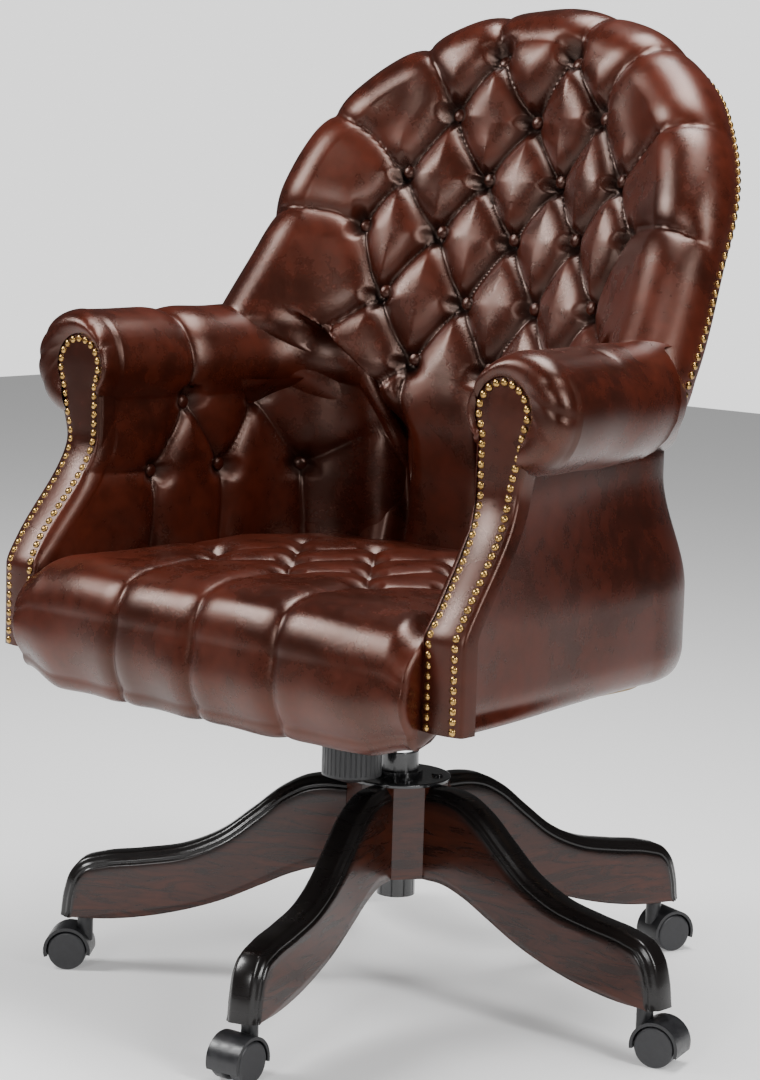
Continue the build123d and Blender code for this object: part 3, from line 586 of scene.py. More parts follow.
def border_pleats():
    pleats = []
    headings = ((0, 1, 72, 0.09), (1, 2, 50, 0.15), (2, 3, 28, 0.17), (3, 4, 4, 0.15))
    for row, last, heading, length in headings:
        right = back_rows[row][last]
        left = back_rows[row][0]
        pleats.append(radial_pleat(right, heading, length))
        pleats.append(radial_pleat(left, 180 - heading, length))
    for row, last in ((4, 3), (5, 2)):
        right = back_rows[row][last]
        left = back_rows[row][0]
        pleats.append(radial_pleat(right, -42, 0.12, 0.012))
        pleats.append(radial_pleat(left, 180 + 42, 0.12, 0.012))
    for x, z in back_rows[5]:
        pleats.append(((x, z), (x * 1.12, BACK_FOOT), 0.026, 0.010, 0.012, 0.036))
    return pleats


back_pleats = diamond_pleats(back_rows, 0.100, 0.027, 0.017, 0.040) + border_pleats()
print(len(back_buttons), "back buttons,", len(back_pleats), "pleats")

# %% inside back surface


def inside_back():
    """Grid from the centre line to the hoop, then round the border roll.

    Rows follow the hoop line. Columns go from the centre line out (share 0 to 1) along
    straight lines in the front view, then round the roll by an angle from 0, facing
    forward, to 152 degrees, facing back. Depth from the buttoning moves points backwards.
    """
    count, across, around = 400, 104, 30
    cx, cz = hoop_line(count)
    behind_arm = 0.065 * smoothstep(0.722, 0.650, cz)
    cy = roll_centre_y(cx, cz) + behind_arm
    line = np.stack([cx, cy, cz], -1)
    tangent = np.gradient(line, axis=0)
    tangent /= np.linalg.norm(tangent, axis=1, keepdims=True)
    step = 1e-3
    slope_x = (roll_centre_y(cx + step, cz) + behind_arm - cy) / step
    slope_z = (roll_centre_y(cx, cz + step) + behind_arm - cy) / step
    front = np.stack([slope_x, -np.ones(count), slope_z], -1)
    front /= np.linalg.norm(front, axis=1, keepdims=True)
    out = np.cross(tangent, front)
    out /= np.linalg.norm(out, axis=1, keepdims=True)
    radius = ROLL_RADIUS * (0.55 + 0.45 * smoothstep(0.56, 0.70, cz))
    core_z = np.minimum(cz, 0.880)
    share = np.linspace(0, 1, across)[None, :]
    px = cx[:, None] * share
    pz = core_z[:, None] + (cz - core_z)[:, None] * share
    flat_z = pz
    join = line + front * radius[:, None]
    base = pillow_y(px, pz)
    lift = (join[:, 1] - pillow_y(cx, cz))[:, None]
    py = base + lift * smoothstep(0.45, 1.0, share)
    beyond = np.abs(px) - crease_x(pz)
    tuck = smoothstep(-0.003, 0.022, beyond) * smoothstep(0.757, 0.748, pz)
    py = py + 0.075 * tuck * (1 - smoothstep(0.55, 0.95, share))
    px = px + (join[:, 0] - cx)[:, None] * smoothstep(0.55, 1.0, share)
    pz = pz + (join[:, 2] - cz)[:, None] * smoothstep(0.55, 1.0, share)
    face = np.stack([px, py, pz], -1)
    angle = np.radians(np.linspace(0, 152, around))[None, 1:, None]
    roll = line[:, None] + radius[:, None, None] * (
        np.cos(angle) * front[:, None] + np.sin(angle) * out[:, None]
    )
    points = np.concatenate([face, roll], axis=1)
    flat_out = np.stack([out[:, 0], out[:, 2]], -1)
    flat_out /= np.linalg.norm(flat_out, axis=1, keepdims=True)
    turn = (radius[:, None] * angle[:, :, 0])
    qx = np.concatenate([cx[:, None] * share, cx[:, None] + flat_out[:, :1] * turn], 1)
    qz = np.concatenate([flat_z, cz[:, None] + flat_out[:, 1:] * turn], 1)
    depth = tuft_depth(qx, qz, back_buttons, back_pleats)
    swell = 0.0022 * soft_noise(qx, qz, 0.16, 3)
    normal = surface_normals(points)
    towards = np.sign(np.sum(normal * np.array([0, -1.0, 0]), -1))[:, across // 2]
    normal *= np.median(towards)
    points = points + normal * (swell - depth)[..., None]
    fold = np.clip(depth / 0.024, 0, 1)
    return points, fold, normal


back_points, back_fold, back_normals = inside_back()
back_cover = mesh_piece(
    "inside_back", back_points, grid_faces(*back_points.shape[:2]), values={"fold": back_fold}
)
leather_piece(back_cover, ["back_pad"])

# %% [markdown]
# ## Facings
# Each arm ends in a narrow upholstered board: upright at the bottom, then swept back in an
# S and opened out into a round scroll. Its edge lines and its sweep are smooth functions of
# height, so the nails, the arm pads and the board itself can all follow the same curves.

# %% curves shared by the arms

FACING_FRONT = -0.292
FACING_BACK = -0.212
ARM_BOTTOM = 0.381
SCROLL_Z = 0.688
SCROLL_X = 0.305
SCROLL_RADIUS = 0.062
HEAD_X = 0.303
HEAD_RADIUS = 0.036
HEAD_SIDE = math.radians(215)
HEAD_END = math.radians(-35)


def facing_y(z):
    """Front surface of the facing: upright to 0.470, where it stands 3 mm proud, then swept back."""
    sweep = smoothstep(0.470, 0.615, z) ** 0.85
    return FACING_FRONT + (FACING_BACK - FACING_FRONT) * sweep - 0.003 * smoothstep(0.50, 0.47, z)


def inner_edge(z):
    """Inner edge of the facing: leans in towards the neck and out again at the bottom."""
    return 0.2825 - 0.014 * smoothstep(0.50, 0.635, z) + 0.003 * smoothstep(0.47, 0.50, z)


def outer_edge(z):
    return 0.3265 - 0.0075 * smoothstep(0.50, 0.625, z)


def facing_outline(count, margin=0.0):
    """Outline from the inner foot up, round the head and down to the outer foot, as x and z.

    The sides follow the edge functions; the head is a circle. Margin moves it inwards.
    """
    start = SCROLL_Z + HEAD_RADIUS * math.sin(HEAD_SIDE)
    stop = SCROLL_Z + HEAD_RADIUS * math.sin(HEAD_END)
    up = np.linspace(ARM_BOTTOM, start, count)
    down = np.linspace(stop, ARM_BOTTOM, count)
    turn = np.linspace(HEAD_SIDE, HEAD_END, count)
    radius = HEAD_RADIUS - margin
    x_in = inner_edge(up) + margin
    x_out = outer_edge(down) - margin
    x_head = HEAD_X + radius * np.cos(turn)
    z_head = SCROLL_Z + radius * np.sin(turn)
    blend_in = smoothstep(0.600, start, up)
    blend_out = smoothstep(0.600, stop, down)
    x_in = x_in + (x_head[0] - x_in[-1]) * blend_in
    x_out = x_out + (x_head[-1] - x_out[0]) * blend_out
    up = up + (z_head[0] - up[-1]) * blend_in
    down = down + (z_head[-1] - down[0]) * blend_out
    x = np.concatenate([x_in, x_head[1:-1], x_out])
    z = np.concatenate([up, z_head[1:-1], down])
    return x, z


def even_steps(x, z, pitch):
    """Points along the swept front, one pitch apart, starting half a pitch from its end."""
    sweep = np.diff(facing_y(z))
    length = np.concatenate([[0], np.cumsum(np.sqrt(np.diff(x) ** 2 + np.diff(z) ** 2 + sweep**2))])
    count = int(round(length[-1] / pitch))
    places = (np.arange(count) + 0.5) * length[-1] / count
    return np.interp(places, length, x), np.interp(places, length, z)


# %% facing boards


def facing_points():
    """Grid from the board's middle line out to its outline, then back over its edge.

    The face is crowned by 3 mm; the edge turns through a quarter circle of 5 mm.
    """
    x, z = facing_outline(70)
    core_z = np.clip(z, ARM_BOTTOM, SCROLL_Z)
    core_x = np.where(z > 0.60, HEAD_X, (inner_edge(z) + outer_edge(z)) / 2)
    share = np.linspace(0, 1, 12)[None, :]
    edge = 0.005
    px = core_x[:, None] + (x - core_x)[:, None] * share
    pz = core_z[:, None] + (z - core_z)[:, None] * share
    py = facing_y(pz) - 0.003 * (1 - share**2)
    turn = np.radians(np.array([30.0, 60.0, 90.0]))[None, :]
    dx, dz = np.gradient(x), np.gradient(z)
    size = np.hypot(dx, dz)
    nx, nz = -dz / size, dx / size
    outwards = edge * np.sin(turn)
    backwards = edge * (1 - np.cos(turn))
    ex = x[:, None] + nx[:, None] * outwards
    ez = z[:, None] + nz[:, None] * outwards
    ey = facing_y(z)[:, None] + backwards
    behind = np.full((len(x), 1), 0.016)
    px = np.concatenate([px, ex, ex[:, -1:]], 1)
    pz = np.concatenate([pz, ez, ez[:, -1:]], 1)
    py = np.concatenate([py, ey, ey[:, -1:] + behind], 1)
    return np.stack([px, py, pz], -1)


def both_sides(name, points, nodes_replaced, values=None, material=None):
    """A piece for +X and its mirror image for -X."""
    faces = grid_faces(*points.shape[:2])
    for side, label in ((1, "left"), (-1, "right")):
        placed = points * np.array([side, 1, 1])
        piece = mesh_piece(f"{name}_{label}", placed, faces, flip=side < 0, values=values)
        leather_piece(piece, [item.format(side=label) for item in nodes_replaced], material)


# The facing boards use the darker copy of the hide: painted shade.
both_sides("facing_board", facing_points(), ["facing_{side}"], material=shaded_hide)

# %% [markdown]
# ## Arms
# The inner face of an arm and its scroll are one piece of hide. In plan the piece runs
# straight back, turns the corner on a 95 mm radius and tucks in behind the back pad. Its
# section is an upright face that flows into the scroll's circle. In front the hide is
# gathered round the facing's head, which a quarter ellipse describes.

# %% arm path and section

STRAIGHT_END = 0.010
SCROLL_STOP = -0.030
UNDER_CURL = -90.0
CORNER_CURL = 66.0
GATHER = 0.0050
CORNER_RADIUS = 0.095
TUCK_RADIUS = 0.033
CORNER_LENGTH = CORNER_RADIUS * math.pi / 2
TUCK_LENGTH = TUCK_RADIUS * math.pi / 2


def arm_path(q):
    """Plan position and inward direction at a distance q.

    q is y on the straight part; past it, it is the arc length round the corner (a quarter
    circle that turns inwards), round the tuck (a quarter circle that turns back) and on.
    """
    past = q - STRAIGHT_END
    corner = np.clip(past / CORNER_RADIUS, 0, math.pi / 2)
    tuck = np.clip((past - CORNER_LENGTH) / TUCK_RADIUS, 0, math.pi / 2)
    beyond = np.maximum(past - CORNER_LENGTH - TUCK_LENGTH, 0)
    face_x = 0.252 + 0.026 * (STRAIGHT_END - np.minimum(q, STRAIGHT_END)) / 0.295
    centre_x = 0.252 - CORNER_RADIUS
    x = np.where(past < 0, face_x, centre_x + CORNER_RADIUS * np.cos(corner))
    y = np.where(past < 0, q, STRAIGHT_END + CORNER_RADIUS * np.sin(corner))
    x = x - TUCK_RADIUS * np.sin(tuck)
    y = y + TUCK_RADIUS * (1 - np.cos(tuck)) + beyond
    heading = corner - tuck
    return x, y, -np.cos(heading), -np.sin(heading)


FACE_FOOT = 0.452
FACE_TOP = SCROLL_Z + SCROLL_RADIUS * math.sin(HEAD_SIDE)


def arm_section(count_face, count_scroll, end_angle, radius, top):
    """Section of the arm as outward distance and height, with its running length.

    Upright face to FACE_TOP, then the scroll's circle from 215 degrees over the top.
    """
    centre_out = radius - 0.012
    centre_z = top - radius
    face_top = centre_z + radius * math.sin(HEAD_SIDE)
    face_z = np.linspace(FACE_FOOT, face_top, count_face, endpoint=False)
    level = (face_z - FACE_FOOT) / (face_top - FACE_FOOT)
    start_out = centre_out + radius * math.cos(HEAD_SIDE)
    face_out = start_out * smoothstep(0.5, 1.0, level) - 0.004 * np.sin(math.pi * level)
    turn = np.linspace(HEAD_SIDE, end_angle, count_scroll)
    out = np.concatenate([face_out, centre_out + radius * np.cos(turn)])
    z = np.concatenate([face_z, centre_z + radius * np.sin(turn)])
    running = np.concatenate([face_z, face_top + radius * (HEAD_SIDE - turn)])
    angle = np.concatenate([np.full(count_face, HEAD_SIDE), turn])
    return out, z, running, angle


# %% arm buttons and pleats

arm_upper = [(-0.080, 0.645), (0.022, 0.645)]
arm_lower = [(-0.126, 0.568), (-0.028, 0.568), (0.078, 0.566)]
arm_button_spots = arm_upper + arm_lower


def arm_pleats():
    """Diagonals between the rows, one pleat over the scroll, and pleats to the seat and seams."""
    deep, middle, width = 0.020, 0.012, 0.036
    links = [
        (arm_lower[0], arm_upper[0]), (arm_upper[0], arm_lower[1]),
        (arm_lower[1], arm_upper[1]), (arm_upper[1], arm_lower[2]),
    ]
    pleats = [(start, end, deep, deep, middle, width) for start, end in links]
    upper = arm_upper[0]
    over = (upper[0] - 0.006, upper[1] + 0.190)
    pleats.append((upper, over, deep, 0.003, 0.010, 0.030))
    for x, z in arm_lower:
        pleats.append(((x, z), (x * 1.06, FACE_FOOT), deep, 0.008, 0.011, 0.034))
    front = arm_lower[0]
    pleats.append((front, (front[0] - 0.110, front[1] + 0.004), deep, 0.004, 0.007, 0.024))
    rear = arm_lower[2]
    pleats.append((rear, (rear[0] + 0.110, rear[1] + 0.052), deep, 0.005, 0.009, 0.034))
    return pleats


# %% arm surface


def arm_surface():
    """Rows run along the arm; columns follow the section from the seat over the scroll.

    The first rows are the gathered front: between the section and the facing's outline the
    hide follows a quarter ellipse. Pleat depth moves points out of the pad, away from the
    sitter. Returns points, the fold value and the places of the buttons.
    """
    count_face, count_scroll = 70, 84
    cap_rows, straight_rows, turn_rows = 16, 90, 76
    q_turn = np.linspace(SCROLL_STOP, STRAIGHT_END + CORNER_LENGTH + TUCK_LENGTH + 0.03, turn_rows)
    lines, folds, places = [], [], []
    pleats = arm_pleats()
    under = math.radians(UNDER_CURL)
    out, z, running, angle = arm_section(
        count_face, count_scroll, under, SCROLL_RADIUS, SCROLL_Z + SCROLL_RADIUS
    )
    front = facing_y(z) + 0.024
    head = np.concatenate([np.zeros(count_face), np.ones(count_scroll)])
    face_x = inner_edge(z)
    head_turn = HEAD_SIDE + (angle - HEAD_SIDE) * (HEAD_END - HEAD_SIDE) / (under - HEAD_SIDE)
    rim_x = np.where(head > 0, HEAD_X + (HEAD_RADIUS - 0.001) * np.cos(head_turn), face_x)
    rim_z = np.where(head > 0, SCROLL_Z + HEAD_RADIUS * np.sin(head_turn), z)
    ease = smoothstep(0.60, FACE_TOP, z[:count_face])
    rim_x[:count_face] += (rim_x[count_face] - rim_x[count_face - 1]) * ease
    rim_z[:count_face] += (rim_z[count_face] - rim_z[count_face - 1]) * ease
    start_x, _, nx, _ = arm_path(front)
    body_x = start_x - nx * out
    for turn in np.linspace(90, 0, cap_rows, endpoint=False):
        lateral = 1 - math.cos(math.radians(turn))
        forward = math.sin(math.radians(turn))
        x = body_x + (rim_x - body_x) * lateral
        zz = z + (rim_z - z) * lateral
        y = front - 0.0255 * forward - 0.008 * head * math.sin(math.radians(2 * turn))
        gather = GATHER * head * np.abs(np.sin(angle * 4.5 + 0.6 * np.sin(angle * 3))) ** 0.5
        gather = gather * math.sin(math.radians(min(turn * 1.7, 90.0)))
        q = front - 0.03 * turn / 90
        depth = tuft_depth(q, running, [], pleats)
        shrink = (gather - GATHER * head * 0.6) * min(1.0, (90 - turn) / 15)
        x = x + (HEAD_X - x) * -shrink / np.maximum(np.hypot(HEAD_X - x, SCROLL_Z - zz), 0.02)
        lines.append(np.stack([x + depth * 0.5 * (1 - head), y, zz], -1))
        places.append(np.stack([q, running], -1))
        # Between the gathers the fold value rises, so the hide there is darkened like the pleats:
        # partly stain, partly painted shade.
        creases = head * np.clip(0.5 - gather / (GATHER * 0.8), 0, 1)
        creases = creases * math.sin(math.radians(turn * 1.9))
        folds.append(np.clip(depth / 0.024 + np.maximum(creases, 0), 0, 1))
    for share in np.linspace(0, 1, straight_rows, endpoint=False):
        q = front + (SCROLL_STOP - front) * share
        x, y, nx, _ = arm_path(q)
        depth = tuft_depth(q, running, arm_button_spots, pleats, 0.019)
        swell = 0.002 * soft_noise(q, running, 0.13, 11)
        lines.append(np.stack([x - nx * out, y, z], -1))
        lines[-1] = push_section(lines[-1], out, z, depth - swell)
        places.append(np.stack([q, running], -1))
        folds.append(np.clip(depth / 0.022, 0, 1))
    for q in q_turn:
        share = (q - STRAIGHT_END) / CORNER_LENGTH
        top = 0.750 - 0.030 * float(smoothstep(0.30, 1.0, share))
        top = top - 0.100 * float(smoothstep(0.92, 1.4, share))
        radius = SCROLL_RADIUS - 0.024 * float(smoothstep(0.0, 1.0, share))
        end = UNDER_CURL + (CORNER_CURL - UNDER_CURL) * float(smoothstep(SCROLL_STOP, 0.014, q))
        out_q, z_q, run_q, _ = arm_section(
            count_face, count_scroll, math.radians(end), radius, top
        )
        q_line = np.full_like(z_q, q)
        x, y, nx, ny = arm_path(q_line)
        depth = tuft_depth(q_line, run_q, arm_button_spots, pleats, 0.019)
        swell = 0.002 * soft_noise(q_line, run_q, 0.13, 11)
        section = np.stack([out_q, np.zeros_like(z_q), z_q], -1)
        flat = push_section(section, out_q, z_q, depth - swell)
        lines.append(np.stack([x - nx * flat[:, 0], y - ny * flat[:, 0], flat[:, 2]], -1))
        places.append(np.stack([q_line, run_q], -1))
        folds.append(np.clip(depth / 0.022, 0, 1))
    return np.stack(lines), np.stack(folds), np.stack(places)


def push_section(line, out, z, depth):
    """Moves a section's points into the pad, along the section's own normal, by depth."""
    d_out, d_z = np.gradient(out), np.gradient(z)
    size = np.maximum(np.hypot(d_out, d_z), 1e-9)
    inward_out, inward_z = d_z / size, -d_out / size
    moved = line.copy()
    moved[:, 0] += inward_out * depth
    moved[:, 2] += inward_z * depth
    return moved


arm_points, arm_fold, arm_places = arm_surface()
both_sides("arm_pad", arm_points, ["arm_{side}"], values={"fold": arm_fold})

# %% rear end of the scroll


def scroll_end():
    """Rounded rear end of a scroll: its circle shrinks along roughly a quarter ellipse."""
    turn = np.radians(np.linspace(100, -88, 60))[None, :]
    back = np.radians(np.linspace(0, 90, 24))[:, None]
    radius = (SCROLL_RADIUS - 0.001) * np.cos(back)
    y = SCROLL_STOP - 0.004 + 0.100 * np.sin(back) ** 1.15
    x = SCROLL_X - 0.003 + radius * np.cos(turn)
    z = SCROLL_Z + radius * np.sin(turn)
    return np.stack([x, np.broadcast_to(y, x.shape), z], -1)


end_points = scroll_end()
both_sides("scroll_end", end_points, [], values={"fold": np.zeros(end_points.shape[:2])})

# %% [markdown]
# ## Outer body
# One band of hide covers the outside of the arms and the rear, below the waist. In plan it
# runs along each arm and round a 150 mm corner. Upwards it is a bell: rounded at the
# bottom, full at the hips and drawn in to the waist.

# %% outer body surface

BODY_FRONT = -0.287
BODY_TURN = 0.062
BODY_CORNER = 0.150
BODY_REAR = BODY_TURN + BODY_CORNER
BODY_FOOT = 0.381


def body_plan(count):
    """Half of the plan path, from the front of an arm round the corner to the middle."""
    straight = np.linspace(0, 1, count // 2, endpoint=False)
    corner = np.radians(np.linspace(0, 90, count // 3, endpoint=False))
    rear = np.linspace(0, 1, count - len(straight) - len(corner))
    x = np.concatenate([
        0.3255 - 0.0255 * straight, BODY_CORNER * (1 + np.cos(corner)), BODY_CORNER * (1 - rear)
    ])
    y = np.concatenate([
        BODY_FRONT + (BODY_TURN - BODY_FRONT) * straight,
        BODY_TURN + BODY_CORNER * np.sin(corner), np.full(len(rear), BODY_REAR),
    ])
    return x, y


def waist_inset(z):
    """How far the body is drawn in above the hips."""
    return 0.029 * smoothstep(0.475, 0.600, z)


def outer_body():
    """Plan path carried up, moved inwards by height: round foot, full hips, narrow waist.

    In front the waist fades out and the edge follows the facing's sweep. Behind the arms
    the top leans in, so that it passes under the scroll and the outside back.
    """
    half_x, half_y = body_plan(110)
    x = np.concatenate([half_x, -half_x[-2::-1]])
    y = np.concatenate([half_y, half_y[-2::-1]])
    foot_z = np.concatenate([[BODY_FOOT, BODY_FOOT - 0.0005], np.linspace(BODY_FOOT, 0.41, 12)])
    z = np.concatenate([foot_z, np.linspace(0.416, 0.668, 46)])
    dx, dy = np.gradient(x), np.gradient(y)
    size = np.hypot(dx, dy)
    nx, ny = dy / size, -dx / size
    share = smoothstep(-0.27, 0.02, y)[:, None]
    foot = 0.020 * (1 - puff((z - 0.380) / 0.034))
    waist = waist_inset(z)
    offset = (foot + waist)[None, :] - waist[None, :] * (1 - share) * 0.62
    offset[:, 0] += 0.040
    foot_front = 0.014 * (1 - share) * smoothstep(0.40, 0.38, z)[None, :]
    behind_arms = smoothstep(-0.12, 0.02, y)[:, None]
    shoulder = 0.050 * smoothstep(0.618, 0.672, z)[None, :] ** 1.5 * behind_arms
    offset = offset - foot_front + shoulder
    front_cut = (facing_y(z) + 0.004)[None, :]
    px = x[:, None] - nx[:, None] * offset
    py = y[:, None] - ny[:, None] * offset
    squeeze = (BODY_TURN - front_cut) / (BODY_TURN - BODY_FRONT)
    along_arm = front_cut + (py - BODY_FRONT) * squeeze
    py = np.where(y[:, None] < BODY_TURN, along_arm, py)
    pz = np.broadcast_to(z, px.shape)
    ripple = 0.0016 * soft_noise(px + py, pz, 0.2, 5)
    return np.stack([px + nx[:, None] * ripple, py + ny[:, None] * ripple, pz], -1)


body_points = outer_body()
outer_cover = mesh_piece(
    "outer_body", body_points, grid_faces(*body_points.shape[:2]), flip=True,
    values={"fold": np.zeros(body_points.shape[:2])},
)
leather_piece(outer_cover, [])

# %% outside back


def outside_back():
    """Panel behind the pad: from the border roll's rear edge in to the middle line.

    Across, it bulges back from the roll's edge to the middle as one minus share squared.
    """
    ring = back_points[:, -1]
    keep = ring[:, 2] > 0.672
    ring = ring[keep]
    share = np.linspace(1, 0, 40)[None, :]
    core_z = np.minimum(ring[:, 2], 0.900)
    px = ring[:, :1] * share
    pz = core_z[:, None] + (ring[:, 2] - core_z)[:, None] * share
    middle = roll_centre_y(np.zeros_like(pz), pz) + 0.047
    py = middle + (ring[:, 1:2] - middle) * share**2
    return np.stack([px, py, pz], -1)


rear_points = outside_back()
rear_cover = mesh_piece(
    "outside_back", rear_points, grid_faces(*rear_points.shape[:2]), flip=True,
    values={"fold": np.zeros(rear_points.shape[:2])},
)
leather_piece(rear_cover, ["back_shell"])

# %% [markdown]
# ## Dust cloth
# Black cambric closes the underside, cut out in the middle for the mechanism. It is
# stretched under the board, with rounded rear corners, and sags by about a millimetre.

# %% dust cloth


def dust_cloth():
    """Rounded plan in rings from the edge in to the cut-out; the sag is half a sine wave."""
    turn = np.linspace(0, 2 * math.pi, 160, endpoint=False)
    power = 0.22
    x = 0.258 * np.sign(np.cos(turn)) * np.abs(np.cos(turn)) ** power
    y = -0.0585 + 0.197 * np.sign(np.sin(turn)) * np.abs(np.sin(turn)) ** power
    rear = np.clip((y - 0.05) / 0.0885, 0, 1)
    x = x * (1 - 0.30 * rear**3)
    share = np.linspace(1, 0.42, 12)[None, :]
    px = x[:, None] * share
    py = -0.005 + (y[:, None] + 0.005) * share
    pz = 0.3698 - 0.0012 * np.sin(math.pi * (1 - share) / 0.58) + 0 * px
    return np.stack([px, py, pz], -1)


cloth_points = dust_cloth()
cloth_faces = grid_faces(*cloth_points.shape[:2], wrap_rows=True)
cloth = mesh_piece("dust_cloth", cloth_points, cloth_faces, flip=True)
cloth.data.materials.append(cambric)
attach(cloth, "seat_body")
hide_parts("dust_cover")

# %% [markdown]
# ## Seat
# The seat is one buttoned pad that rolls over the front edge and hangs down between the
# facings. Across it is a width that opens out in front of the arms; along it is a line
# that goes forward over the top, round the nose, down the front and under.

# %% seat surface

SEAT_STEP = 0.112
SEAT_ROWS = ((3, -0.190), (4, -0.122), (3, -0.054), (4, 0.014))
seat_rows = [
    [((index - (count - 1) / 2) * SEAT_STEP, y) for index in range(count)] for count, y in SEAT_ROWS
]
seat_button_spots = [spot for row in seat_rows for spot in row]
print(len(seat_button_spots), "seat buttons")


def seat_line(count):
    """Side view of the seat's middle as y, z and a running length that equals y on top."""
    top_y = np.linspace(0.135, -0.268, count)
    top_z = 0.484 - 0.010 * smoothstep(-0.02, 0.13, top_y)
    turn = np.radians(np.linspace(90, 0, 28))[1:]
    nose_y = -0.268 - 0.056 * np.cos(turn)
    nose_z = 0.432 + 0.052 * np.sin(turn)
    drop = np.linspace(0, 1, 26)[1:]
    face_y = -0.324 - 0.004 * np.sin(math.pi * drop) + 0.010 * drop**3
    face_z = 0.432 - 0.068 * drop
    lip = np.radians(np.linspace(0, 110, 14))[1:]
    lip_y = -0.298 - 0.016 * np.cos(lip)
    lip_z = 0.364 - 0.017 * np.sin(lip)
    y = np.concatenate([top_y, nose_y, face_y, lip_y, [-0.262]])
    z = np.concatenate([top_z, nose_z, face_z, lip_z, [0.352]])
    step = np.hypot(np.diff(y), np.diff(z))
    running = 0.135 - np.concatenate([[0], np.cumsum(step)])
    return y, z, running


def seat_pleats():
    pleats = diamond_pleats(seat_rows, 0.092, 0.019, 0.008, 0.040)
    for x, y in seat_rows[0]:
        pleats.append(((x, y), (x * 1.04, y - 0.270), 0.018, 0.004, 0.0065, 0.026))
    for side in (-1, 1):
        pleats.append(((side * 0.168, -0.122), (side * 0.262, -0.100), 0.018, 0.006, 0.008, 0.030))
    return pleats


def seat_surface():
    """Seat pad: side line carried across, crowned, with the buttoning pushed down.

    Height gains a crown of 12 mm that falls to nothing at the sides as one minus the
    fourth power of the share; the front's lower edge rises towards the facings.
    """
    y, z, running = seat_line(150)
    across = np.linspace(-1, 1, 220)
    share, line_y = np.meshgrid(across, y, indexing="ij")
    _, line_z = np.meshgrid(across, z, indexing="ij")
    _, run = np.meshgrid(across, running, indexing="ij")
    wide = 0.262 + 0.0185 * smoothstep(-0.245, -0.308, line_y)
    x = share * wide
    crown = 0.012 * (1 - share**4) * smoothstep(0.40, 0.48, line_z)
    sides = 0.012 * smoothstep(0.90, 1.0, np.abs(share)) * smoothstep(0.40, 0.47, line_z)
    lift = 0.014 * smoothstep(0.22, 0.28, np.abs(x)) * smoothstep(0.43, 0.35, line_z)
    belly = 0.010 * (1 - share**2) * smoothstep(-0.28, -0.31, line_y)
    points = np.stack([x, line_y - belly, line_z + crown - sides + lift], -1)
    depth = tuft_depth(x, run, seat_button_spots, seat_pleats(), dip=0.020, dip_radius=0.018)
    swell = 0.003 * soft_noise(x, run, 0.15, 21)
    normal = surface_normals(points)
    if normal[110, 60, 2] < 0:
        normal = -normal
    points = points + normal * (swell - depth)[..., None]
    core = np.array([0.0, -0.180, 0.415])
    caps = []
    for side, edge in ((-1, points[0]), (1, points[-1])):
        inward = np.linspace(0, 1, 12)[1:, None, None]
        flat = edge[None] + (core - edge)[None] * inward * 0.9
        flat[..., 0] = edge[None, :, 0] - side * 0.004 * inward[..., 0] ** 2
        caps.append(flat)
    points = np.concatenate([caps[0][::-1], points, caps[1]], 0)
    fold = np.pad(np.clip(depth / 0.020, 0, 1), ((11, 11), (0, 0)), mode="edge")
    return points, fold


seat_points, seat_fold = seat_surface()
seat_cover = mesh_piece(
    "seat_pad", seat_points, grid_faces(*seat_points.shape[:2]), values={"fold": seat_fold}
)
leather_piece(seat_cover, ["seat_cushion"])

# %% [markdown]
# ## Buttons and nails
# A covered button is a low dome of the same hide. Upholstery nails are brass domes set
# edge to edge. Both are one small mesh repeated, so the copies are made as whole arrays:
# each copy is the pattern turned to the surface's normal and moved to its place.

# %% repeated domes


def dome_pattern(radius, height, rings, around, sink):
    """Spherical-cap dome with a short skirt, as points and faces, axis along +Z."""
    lift = np.linspace(0, 1, rings)
    ring_radius = np.concatenate([[radius * 0.96], radius * np.sqrt(1 - lift[:-1] ** 2)])
    ring_z = np.concatenate([[-sink], height * lift[:-1]])
    turn = np.linspace(0, 2 * math.pi, around, endpoint=False)
    x = ring_radius[:, None] * np.cos(turn)
    y = ring_radius[:, None] * np.sin(turn)
    z = np.broadcast_to(ring_z[:, None], x.shape)
    rim = np.stack([x, y, z], -1).reshape(-1, 3)
    points = np.concatenate([rim, [[0, 0, height], [0, 0, -sink]]])
    faces = [tuple(f) for f in grid_faces(rings, around, wrap_columns=True)[:, ::-1].tolist()]
    last = (rings - 1) * around
    faces += [(last + k, last + (k + 1) % around, rings * around) for k in range(around)]
    faces += [((k + 1) % around, k, rings * around + 1) for k in range(around)]
    return points, faces


def frames_for(normals):
    """Rotation matrices that turn +Z to each normal."""
    normals = normals / np.linalg.norm(normals, axis=1, keepdims=True)
    helper = np.where(np.abs(normals[:, 2:3]) > 0.9, [[1.0, 0, 0]], [[0, 0, 1.0]])
    side = np.cross(helper, normals)
    side /= np.linalg.norm(side, axis=1, keepdims=True)
    up = np.cross(normals, side)
    return np.stack([side, up, normals], -1)


def scatter(name, places, normals, pattern):
    """One object made of a copy of the pattern at every place."""
    base, faces = pattern
    turned = np.einsum("nij,kj->nki", frames_for(normals), base) + places[:, None]
    mesh = bpy.data.meshes.new(name)
    all_faces = []
    for index in range(len(places)):
        shift = index * len(base)
        all_faces.extend([tuple(v + shift for v in face) for face in faces])
    mesh.from_pydata(turned.reshape(-1, 3).tolist(), [], all_faces)
    mesh.shade_smooth()
    piece = bpy.data.objects.new(name, mesh)
    bpy.context.scene.collection.objects.link(piece)
    return piece


# %% nails


def facing_nail_places():
    x, z = facing_outline(80, 0.0058)
    x, z = even_steps(x, z, 0.0102)
    y = facing_y(z) - 0.0008
    slope = (facing_y(z + 0.002) - facing_y(z - 0.002)) / 0.004
    normals = np.stack([np.zeros_like(x), -np.ones_like(x), slope], -1)
    return np.stack([x, y, z], -1), normals


